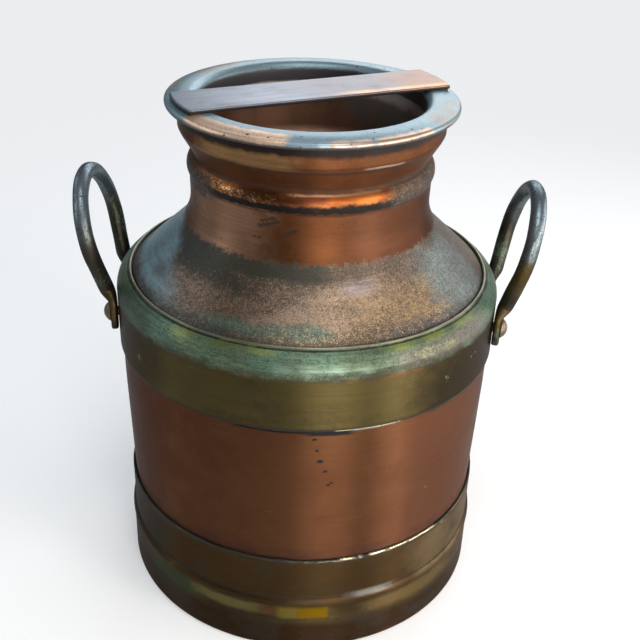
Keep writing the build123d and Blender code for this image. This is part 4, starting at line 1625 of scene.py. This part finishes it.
@dataclass
class Neck:
    """Cone, neck, bead and curled mouth, spun from one sheet. Sizes in mm."""

    sheet: float = 1.2
    cone_radius: float = 100.58
    cone_foot: float = 197.65
    cone_skirt: float = 9.0
    cone_top: float = 229.6
    radius: float = 66.3
    opening: float = 0.6
    groove: float = 254.0
    bead_height: float = 10.6
    bead_proud: float = 2.0
    notch_radius: float = 64.4
    notch_level: float = 266.0
    crease_radius: float = 71.2
    crease_level: float = 277.4
    mouth_radius: float = 72.6
    curl_radius: float = 3.2
    curl_height: float = 292.0
    foot_corner: float = 2.5
    cone_sweep: float = 29.0
    notch_corner: float = 1.6
    crease_corner: float = 0.8
    mouth_corner: float = 3.0
    unevenness: float = 0.2

    def build(self, shop: Workshop) -> None:
        """Makes the neck."""
        foot = (self.radius + self.opening, self.groove)
        bead_top = (self.radius - 0.95, self.groove + self.bead_height)
        cone = rounded(
            [
                (self.cone_radius, self.cone_foot - self.cone_skirt, 0),
                (self.cone_radius, self.cone_foot, self.foot_corner),
                (self.radius, self.cone_top, self.cone_sweep),
                (*foot, 0),
            ]
        )
        bead = bow(foot, (self.radius + self.bead_proud, self.groove + self.bead_height / 2), bead_top)
        mouth = rounded(
            [
                (*bead_top, 0),
                (self.notch_radius, self.notch_level, self.notch_corner),
                (self.crease_radius, self.crease_level, self.crease_corner),
                (self.mouth_radius, self.crease_level + self.mouth_corner, self.mouth_corner),
                (self.mouth_radius, self.curl_height, 0),
            ]
        )
        curl = arc((self.mouth_radius - self.curl_radius, self.curl_height), self.curl_radius, 0, 282)
        line = cone[:-1] + bead + mouth[1:] + curl[1:]
        outline = folded(line, self.sheet, Sheet.LEFT, 1.6)
        shop.spin("spun_neck", outline, Unevenness(self.unevenness), "neck_copper", "neck")
        shop.dress("mouth_wire", "iron_wire")


@dataclass
class Lid:
    """The lift-out lid: a deep pan under a wide rolled flange, and the strap across it. Sizes in mm."""

    sheet: float = 1.0
    crown_height: float = 296.5
    floor_height: float = 254.5
    floor_radius: float = 59.6
    pan_radius: float = 61.4
    crown_radius: float = 72.6
    rim_radius: float = 79.1
    edge_height: float = 295.3
    curl_radius: float = 2.0
    floor_corner: float = 6.0
    pan_corner: float = 5.0
    crown_sweep: float = 20.0
    unevenness: float = 0.15
    strap_bottom: float = 296.6
    strap_thickness: float = 2.2
    strap_width: float = 34.0
    strap_reach: float = 76.1
    strap_angle: float = STRAP_ANGLE

    def build(self, shop: Workshop) -> None:
        """Makes the pan and the strap."""
        centre = (self.rim_radius - self.curl_radius, self.edge_height - self.curl_radius)
        line = rounded(
            [
                (0.0, self.floor_height, 0),
                (self.floor_radius, self.floor_height, self.floor_corner),
                (self.pan_radius, self.crown_height, self.pan_corner),
                (self.crown_radius, self.crown_height, self.crown_sweep),
                (centre[0], self.edge_height, 0),
            ]
        )
        line += arc(centre, self.curl_radius, 82, -200)
        outline = folded(line, self.sheet, Sheet.RIGHT)
        shop.spin("lid_pan_spun", outline, Unevenness(self.unevenness), "lid_copper", "lid_pan", Body.LID)
        shop.dress("lid_rim_wire", "iron_wire")
        shop.dress("strap_solder", "solder")
        shop.place(self.strap(shop.finish("strap_metal")), Body.LID, "strap_metal", "lid_strap")

    def strap(self, material: Material) -> Piece:
        """Makes the strap: a flat bar with eased edges and ends cut to the flange's round."""
        half = self.strap_width / 2
        corner = math.degrees(math.asin(half / self.strap_reach))
        end = np.radians(np.linspace(-corner, corner, 25))
        right = [(self.strap_reach * math.cos(a), self.strap_reach * math.sin(a)) for a in end]
        run = np.linspace(right[-1][0], -right[-1][0], 61)[1:-1]
        side = [(x, half) for x in run]
        ring = np.array(right + side + [(-x, -y) for x, y in right] + [(-x, -y) for x, y in side])
        along = np.roll(ring, -1, axis=0) - ring
        after = np.column_stack([along[:, 1], -along[:, 0]]) / np.linalg.norm(along, axis=1)[:, None]
        before = np.roll(after, 1, axis=0)
        outward = (after + before) / (1 + (after * before).sum(axis=1))[:, None]
        top = self.strap_bottom + self.strap_thickness
        layers = [
            (self.strap_bottom, 0.5), (self.strap_bottom + 0.12, 0.15), (self.strap_bottom + 0.45, 0.0),
            (top - 0.6, 0.0), (top - 0.25, 0.12), (top - 0.06, 0.35), (top, 0.7), (top, 1.0),
        ]
        turn = math.radians(self.strap_angle)
        wedge = np.array([[math.cos(turn), math.sin(turn)], [-math.sin(turn), math.cos(turn)]])
        rings = []
        for height, inset in layers:
            flat = (ring - outward * inset) @ wedge
            rings.append(np.column_stack([flat, np.full(len(flat), height)]) * MM)
        count = len(ring)
        faces = sleeve(len(layers), count)
        tip = len(right) // 2
        for k in range(tip, tip + count // 2):
            across = [k, k + 1, (2 * tip - k - 1) % count, (2 * tip - k) % count]
            corners = list(dict.fromkeys(across))
            faces.append(tuple(corners[::-1]))
            faces.append(tuple((len(layers) - 1) * count + corner for corner in corners))
        mesh = bpy.data.meshes.new("strap_bar")
        mesh.from_pydata(np.vstack(rings).tolist(), [], faces)
        return own_mesh("strap_bar", mesh, material)


# Middle, outward direction, and half width and half thickness of a handle's cross-section
Section = tuple[np.ndarray, np.ndarray, Range]


@dataclass
class Handles:
    """The two loop handles and what holds them. Sizes in mm."""

    rod_radius: float = 4.5
    loop_radius: float = 31.5
    loop_rise: float = 28.5
    lean: float = 12.1
    foot_height: float = 187.0
    foot_reach: float = 113.45
    foot_spread: float = 24.0
    spread_angle: float = 12.59
    pad_half_width: float = 7.5
    pad_thickness: float = 4.4
    pad_inner: float = 110.2
    pad_top: float = 178.5
    pad_bottom: float = 161.0
    rivet_height: float = 172.0
    head_seat: float = 114.75
    head_radius: float = 5.7
    head_height: float = 3.4
    shank_radius: float = 2.7
    shank_length: float = 8.0
    peen_radius: float = 4.2
    peen_height: float = 1.8
    burr_radius: float = 5.5
    burr_thickness: float = 1.2
    burr_depth: float = 7.1
    hammering: float = 0.35
    pad_levels: tuple[float, ...] = (170, 172, 174, 176)
    toe_steps: int = 12
    ankle_steps: int = 13
    leg_steps: int = 10
    crown_steps: int = 28
    sides: int = 32

    def build(self, shop: Workshop, fastenings: Pattern) -> None:
        """Makes both handles, the rivets and their burrs."""
        for name, node, way in (("loop_right", "handle_right", 1), ("loop_left", "handle_left", -1)):
            loop = self.loop(name, shop.finish("handle_bronze"), way)
            shop.place(loop, Body.POT, "handle_bronze", node)
        seat = self.head_seat - self.burr_depth
        end = -self.shank_length
        rivet = [
            (0.0, self.head_height),
            *arc((0, self.head_height - self.dome()), self.dome(), 90, 90 - self.dome_angle(), 6.0)[1:],
            (self.head_radius - 0.3, -0.15),
            (self.shank_radius, -0.15),
            (self.shank_radius, end),
            (self.peen_radius, end - 0.2),
            (self.peen_radius * 0.75, end - 0.75 * self.peen_height),
            (self.peen_radius * 0.4, end - self.peen_height),
            (0.0, end - self.peen_height),
        ]
        bore = self.shank_radius + 0.1
        burr = [
            (self.burr_radius - 0.2, 0.0),
            (self.burr_radius, -0.2),
            (self.burr_radius, 0.2 - self.burr_thickness),
            (self.burr_radius - 0.3, -self.burr_thickness),
            (bore, -self.burr_thickness),
            (bore, 0.0),
        ]
        for name, node, outline, radius, seed in (
            ("forged_rivets", "handle_rivets", rivet, self.head_seat, 5.0),
            ("closing_burrs", "rivet_burrs", burr, seat, 8.0),
        ):
            finish = shop.finish("rivet_copper")
            form = spun(f"{name}_form", outline, finish, Unevenness(0.0))
            piece = fastenings.make(
                name, finish, Form=form, Seat_Radius=radius * MM, Seat_Height=self.rivet_height * MM,
                Spread=math.radians(self.spread_angle), Hammering=self.hammering * MM, Seed=seed,
            )
            bpy.data.objects.remove(form)
            shop.place(piece, Body.POT, "rivet_copper", node)

    def dome(self) -> float:
        """Gives the radius of the sphere that a rivet's head is cut from."""
        return (self.head_radius**2 + self.head_height**2) / (2 * self.head_height)

    def dome_angle(self) -> float:
        """Gives the angle from a head's crown to its edge, in degrees."""
        return math.degrees(math.asin(self.head_radius / self.dome()))

    def outward(self) -> np.ndarray:
        """Gives the way that the right handle's pads face."""
        turn = math.radians(self.spread_angle)
        return np.array([math.cos(turn), math.sin(turn), 0.0])

    def leaning(self) -> np.ndarray:
        """Gives the way that the leaning loop faces."""
        lean = math.radians(self.lean)
        return np.array([math.cos(lean), 0.0, -math.sin(lean)])

    def on_plane(self, across: float, up: float) -> np.ndarray:
        """Gives a place on the leaning plane of the loop."""
        lean = math.radians(self.lean)
        return np.array(
            [self.foot_reach + up * math.sin(lean), across, self.foot_height + up * math.cos(lean)]
        )

    def pad(self) -> Iterator[Section]:
        """Gives the sections of a pad, from its lower end up."""
        middle = self.outward() * (self.pad_inner + self.pad_thickness / 2)
        round_centre = self.pad_bottom + self.pad_half_width
        toe = round_centre - self.pad_half_width * np.cos(np.radians(np.linspace(4, 90, self.toe_steps)))
        for height in [*toe, *self.pad_levels]:
            below = max(0.0, round_centre - height)
            width = math.sqrt(max(self.pad_half_width**2 - below**2, 0.01))
            eased = min(1.0, 0.55 + (height - self.pad_bottom) * 0.3)
            yield middle + (0, 0, height), self.outward(), (width, self.pad_thickness / 2 * eased)

    def loop_line(self) -> list[np.ndarray]:
        """Gives the middle line of the loop from a leg's foot to the crown, across and up on its plane."""
        reach = math.hypot(self.foot_spread, self.loop_rise)
        touch = math.atan2(-self.loop_rise, self.foot_spread) + math.acos(self.loop_radius / reach)
        over = [
            np.array([self.loop_radius * math.cos(a), self.loop_rise + self.loop_radius * math.sin(a)])
            for a in np.linspace(touch, math.pi / 2, self.crown_steps)
        ]
        start = np.array([self.foot_spread, 0.0])
        leg = [start + (over[0] - start) * k / self.leg_steps for k in range(self.leg_steps + 1)]
        return leg + over[1:]

    def ankle(self, line: list[np.ndarray]) -> Iterator[Section]:
        """Gives the sections between a pad and its leg, where the flat pad turns into the round rod."""
        first = self.outward() * (self.pad_inner + self.pad_thickness / 2) + (0, 0, self.pad_top - 1.5)
        last = self.on_plane(*line[0])
        out_way = self.on_plane(*line[1]) - last
        out_way /= np.linalg.norm(out_way)
        span = np.linalg.norm(last - first)
        for k in np.linspace(0, 1, self.ankle_steps)[:-1]:
            middle = (2 * k**3 - 3 * k**2 + 1) * first + (k**3 - 2 * k**2 + k) * span * np.array([0, 0, 1.0])
            middle = middle + (3 * k**2 - 2 * k**3) * last + (k**3 - k**2) * span * out_way
            ease = k * k * (3 - 2 * k)
            width, thickness = (
                flat + (self.rod_radius - flat) * ease for flat in (
                    self.pad_half_width, self.pad_thickness / 2
                )
            )
            yield middle, self.outward() * (1 - ease) + self.leaning() * ease, (width, thickness)

    def path(self) -> tuple[np.ndarray, np.ndarray, np.ndarray]:
        """Lays out the right handle's middle line from one pad's lower end to the other's.

        Returns:
            Points in mm, outward directions, and half width and half thickness at each.
        """
        line = self.loop_line()
        rod = (self.rod_radius, self.rod_radius)
        sections = [*self.pad(), *self.ankle(line)]
        sections += [(self.on_plane(*place), self.leaning(), rod) for place in line]
        points, normals, sizes = (np.array(column) for column in zip(*sections))
        flip = np.array([1.0, -1.0, 1.0])
        return (
            np.vstack([points, points[-2::-1] * flip]),
            np.vstack([normals, normals[-2::-1] * flip]),
            np.vstack([sizes, sizes[-2::-1]]),
        )

    def loop(self, name: str, material: Material, way: int) -> Piece:
        """Forges one handle.

        Args:
            name: the piece's name.
            material: its finish.
            way: 1 for the right handle, -1 for the left.

        Returns:
            The handle.
        """
        points, normals, sizes = self.path()
        tangents = np.gradient(points, axis=0)
        tangents /= np.linalg.norm(tangents, axis=1)[:, None]
        normals = normals - tangents * np.sum(normals * tangents, axis=1)[:, None]
        normals /= np.linalg.norm(normals, axis=1)[:, None]
        across = np.cross(tangents, normals)
        along = np.concatenate([[0], np.cumsum(np.linalg.norm(np.diff(points, axis=0), axis=1))])
        rings = []
        for k, (point, normal, side, (width, thick)) in enumerate(zip(points, normals, across, sizes)):
            square = np.clip((width - self.rod_radius) / (self.pad_half_width - self.rod_radius), 0, 1)
            power = 1.0 - 0.45 * max(square, 1.0 if thick < 2.3 else 0.0)
            angle = np.arange(self.sides) * 2 * math.pi / self.sides
            wave = 1 - 0.025 * (
                1 + np.sin(along[k] * 0.21 + 0.5 + 2 * angle) * np.cos(along[k] * 0.083 + way)
            )
            u = np.sign(np.cos(angle)) * np.abs(np.cos(angle)) ** power * width * wave
            v = np.sign(np.sin(angle)) * np.abs(np.sin(angle)) ** power * thick * wave
            rings.append(point + side * u[:, None] + normal * v[:, None])
        count = len(rings)
        verts = np.vstack([*rings, points[:1], points[-1:]]) * MM
        if way < 0:
            verts = verts * (-1, 1, 1)
        sides = self.sides
        faces = sleeve(count, sides)
        tip = count * sides
        faces += [(tip, (i + 1) % sides, i) for i in range(sides)]
        last = tip - sides
        faces += [(tip + 1, last + i, last + (i + 1) % sides) for i in range(sides)]
        mesh = bpy.data.meshes.new(name)
        mesh.from_pydata(verts.tolist(), [], faces)
        turned = bmesh.new()
        turned.from_mesh(mesh)
        bmesh.ops.remove_doubles(turned, verts=turned.verts, dist=1e-6)
        bmesh.ops.recalc_face_normals(turned, faces=turned.faces)
        turned.to_mesh(mesh)
        turned.free()
        return own_mesh(name, mesh, material)


@dataclass(frozen=True)
class SoftBox:
    """A rectangular lamp: bearing in degrees, lengths in metres, power in watts."""

    name: str
    azimuth: float
    distance: float
    height: float
    width: float
    tall: float
    power: float
    colour: Shade
    aim: float = 0.15

    def hang(self) -> None:
        """Puts the lamp in the scene, aimed at a height on the pot's axis."""
        data = bpy.data.lights.new(self.name, "AREA")
        data.shape = "RECTANGLE"
        data.size = self.width
        data.size_y = self.tall
        data.energy = self.power
        data.color = self.colour
        lamp = added(self.name, data)
        lamp.visible_camera = False
        angle = math.radians(self.azimuth)
        place = Vector((self.distance * math.cos(angle), self.distance * math.sin(angle), self.height))
        lamp.location = place
        lamp.rotation_euler = (Vector((0, 0, self.aim)) - place).to_track_quat("-Z", "Y").to_euler()


@dataclass
class Studio:
    """Floor, lights and the camera."""

    lens: float = 55.49
    place: Vector3 = (0.0152, -0.5178, 0.4466)
    azimuth: float = 90.78
    pitch: float = 29.124
    roll: float = 2.142
    floor_size: float = 9.0
    floor_colour: Colour = (0.8, 0.8, 0.8, 1)
    floor_lift: Colour = (0.8, 0.81, 0.83, 1)
    lift_strength: float = 0.3
    room_light: Colour = (0.105, 0.1125, 0.125, 1)
    backdrop: Colour = (0.84, 0.85, 0.87, 1)
    fade: Range = (0.4, 1.0)

    def build(self) -> None:
        """Sets the scene round the pot."""
        self.camera()
        self.floor()
        self.lamps()
        scene = bpy.context.scene
        scene.view_settings.view_transform = "Standard"
        world = bpy.data.worlds.new("room")
        scene.world = world
        world.use_nodes = True
        graph = Graph(world.node_tree)
        seen = graph.node("ShaderNodeLightPath").outputs["Is Camera Ray"]
        background = world.node_tree.nodes["Background"]
        graph.feed(background.inputs["Color"], graph.dye(seen, self.room_light, self.backdrop))
        background.inputs["Strength"].default_value = 1.0

    def camera(self) -> None:
        """Stands the camera where the photograph was taken from."""
        data = bpy.data.cameras.new("camera")
        data.lens = self.lens
        data.sensor_width = 36.0
        data.clip_start = 0.01
        camera = added("camera", data)
        way, down, roll = (math.radians(v) for v in (self.azimuth, self.pitch, self.roll))
        ahead = Vector((math.cos(way) * math.cos(down), math.sin(way) * math.cos(down), -math.sin(down)))
        right = ahead.cross(Vector((0, 0, 1))).normalized()
        up = right.cross(ahead)
        turned = right * math.cos(roll) + up * math.sin(roll)
        raised = up * math.cos(roll) - right * math.sin(roll)
        matrix = Matrix((turned, raised, -ahead)).transposed().to_4x4()
        matrix.translation = Vector(self.place)
        camera.matrix_world = matrix
        bpy.context.scene.camera = camera

    def floor(self) -> None:
        """Lays the pale floor."""
        half = self.floor_size / 2
        mesh = bpy.data.meshes.new("floor")
        corners = [(-half, -half, 0), (half, -half, 0), (half, half, 0), (-half, half, 0)]
        mesh.from_pydata(corners, [], [(0, 1, 2, 3)])
        material = bpy.data.materials.new("floor")
        material.use_nodes = True
        material.node_tree.nodes.clear()
        graph = Graph(material.node_tree)
        matt = graph.out("ShaderNodeBsdfDiffuse", {"Color": self.floor_colour})
        seen = graph.node("ShaderNodeLightPath").outputs["Is Camera Ray"]
        strength = graph.times(seen, self.lift_strength)
        lift = graph.out("ShaderNodeEmission", {"Color": self.floor_lift, "Strength": strength})
        both = graph.out("ShaderNodeAddShader", {0: matt, 1: lift})
        here = graph.node("ShaderNodeTexCoord").outputs["Object"]
        away = graph.length(here)
        faded = graph.times(graph.step(away, *self.fade), seen)
        haze = graph.out("ShaderNodeEmission", {"Color": self.backdrop})
        mixed = graph.out("ShaderNodeMixShader", {0: faded, 1: both, 2: haze})
        graph.node("ShaderNodeOutputMaterial", {"Surface": mixed})
        mesh.materials.append(material)
        added("floor", mesh)

    def lamps(self) -> None:
        """Hangs the soft boxes: a low window and side panel, a back light and softer light from above."""
        for soft_box in (
            SoftBox("window", -73.5, 1.0, 0.34, 0.44, 0.64, 6.6, (1.0, 0.94, 0.84), 0.3),
            SoftBox("strip", -37.0, 1.1, 0.36, 0.26, 0.7, 4.6, (1.0, 0.93, 0.84), 0.3),
            SoftBox("side", -9.0, 1.3, 0.42, 2.3, 0.8, 22.0, (1.0, 0.94, 0.9), 0.35),
            SoftBox("far", -168.0, 1.5, 0.8, 0.26, 0.7, 2.6, (0.9, 0.96, 1.0), 0.5),
            SoftBox("back", 78.0, 1.7, 1.0, 1.4, 0.9, 14.0, (0.9, 0.96, 1.0)),
            SoftBox("top", -80.0, 0.45, 1.6, 0.9, 0.9, 8.5, (0.95, 0.98, 1.0)),
            SoftBox("fill", 160.0, 1.5, 1.1, 1.0, 0.8, 3.4, (0.8, 0.92, 1.0)),
        ):
            soft_box.hang()


def main() -> None:
    """Builds the pot's pieces in order, from the foot up, and then its surroundings."""
    logging.basicConfig(level=logging.INFO, format="%(name)s %(message)s")
    shop = Workshop()
    solder = solder_run_pattern()
    fastenings = rivet_pattern()
    BaseBand().build(shop, solder)
    Wall().build(shop)
    Shoulder().build(shop, solder)
    Neck().build(shop)
    Lid().build(shop)
    Handles().build(shop, fastenings)
    Studio().build()


if __name__ == "__main__":
    main()
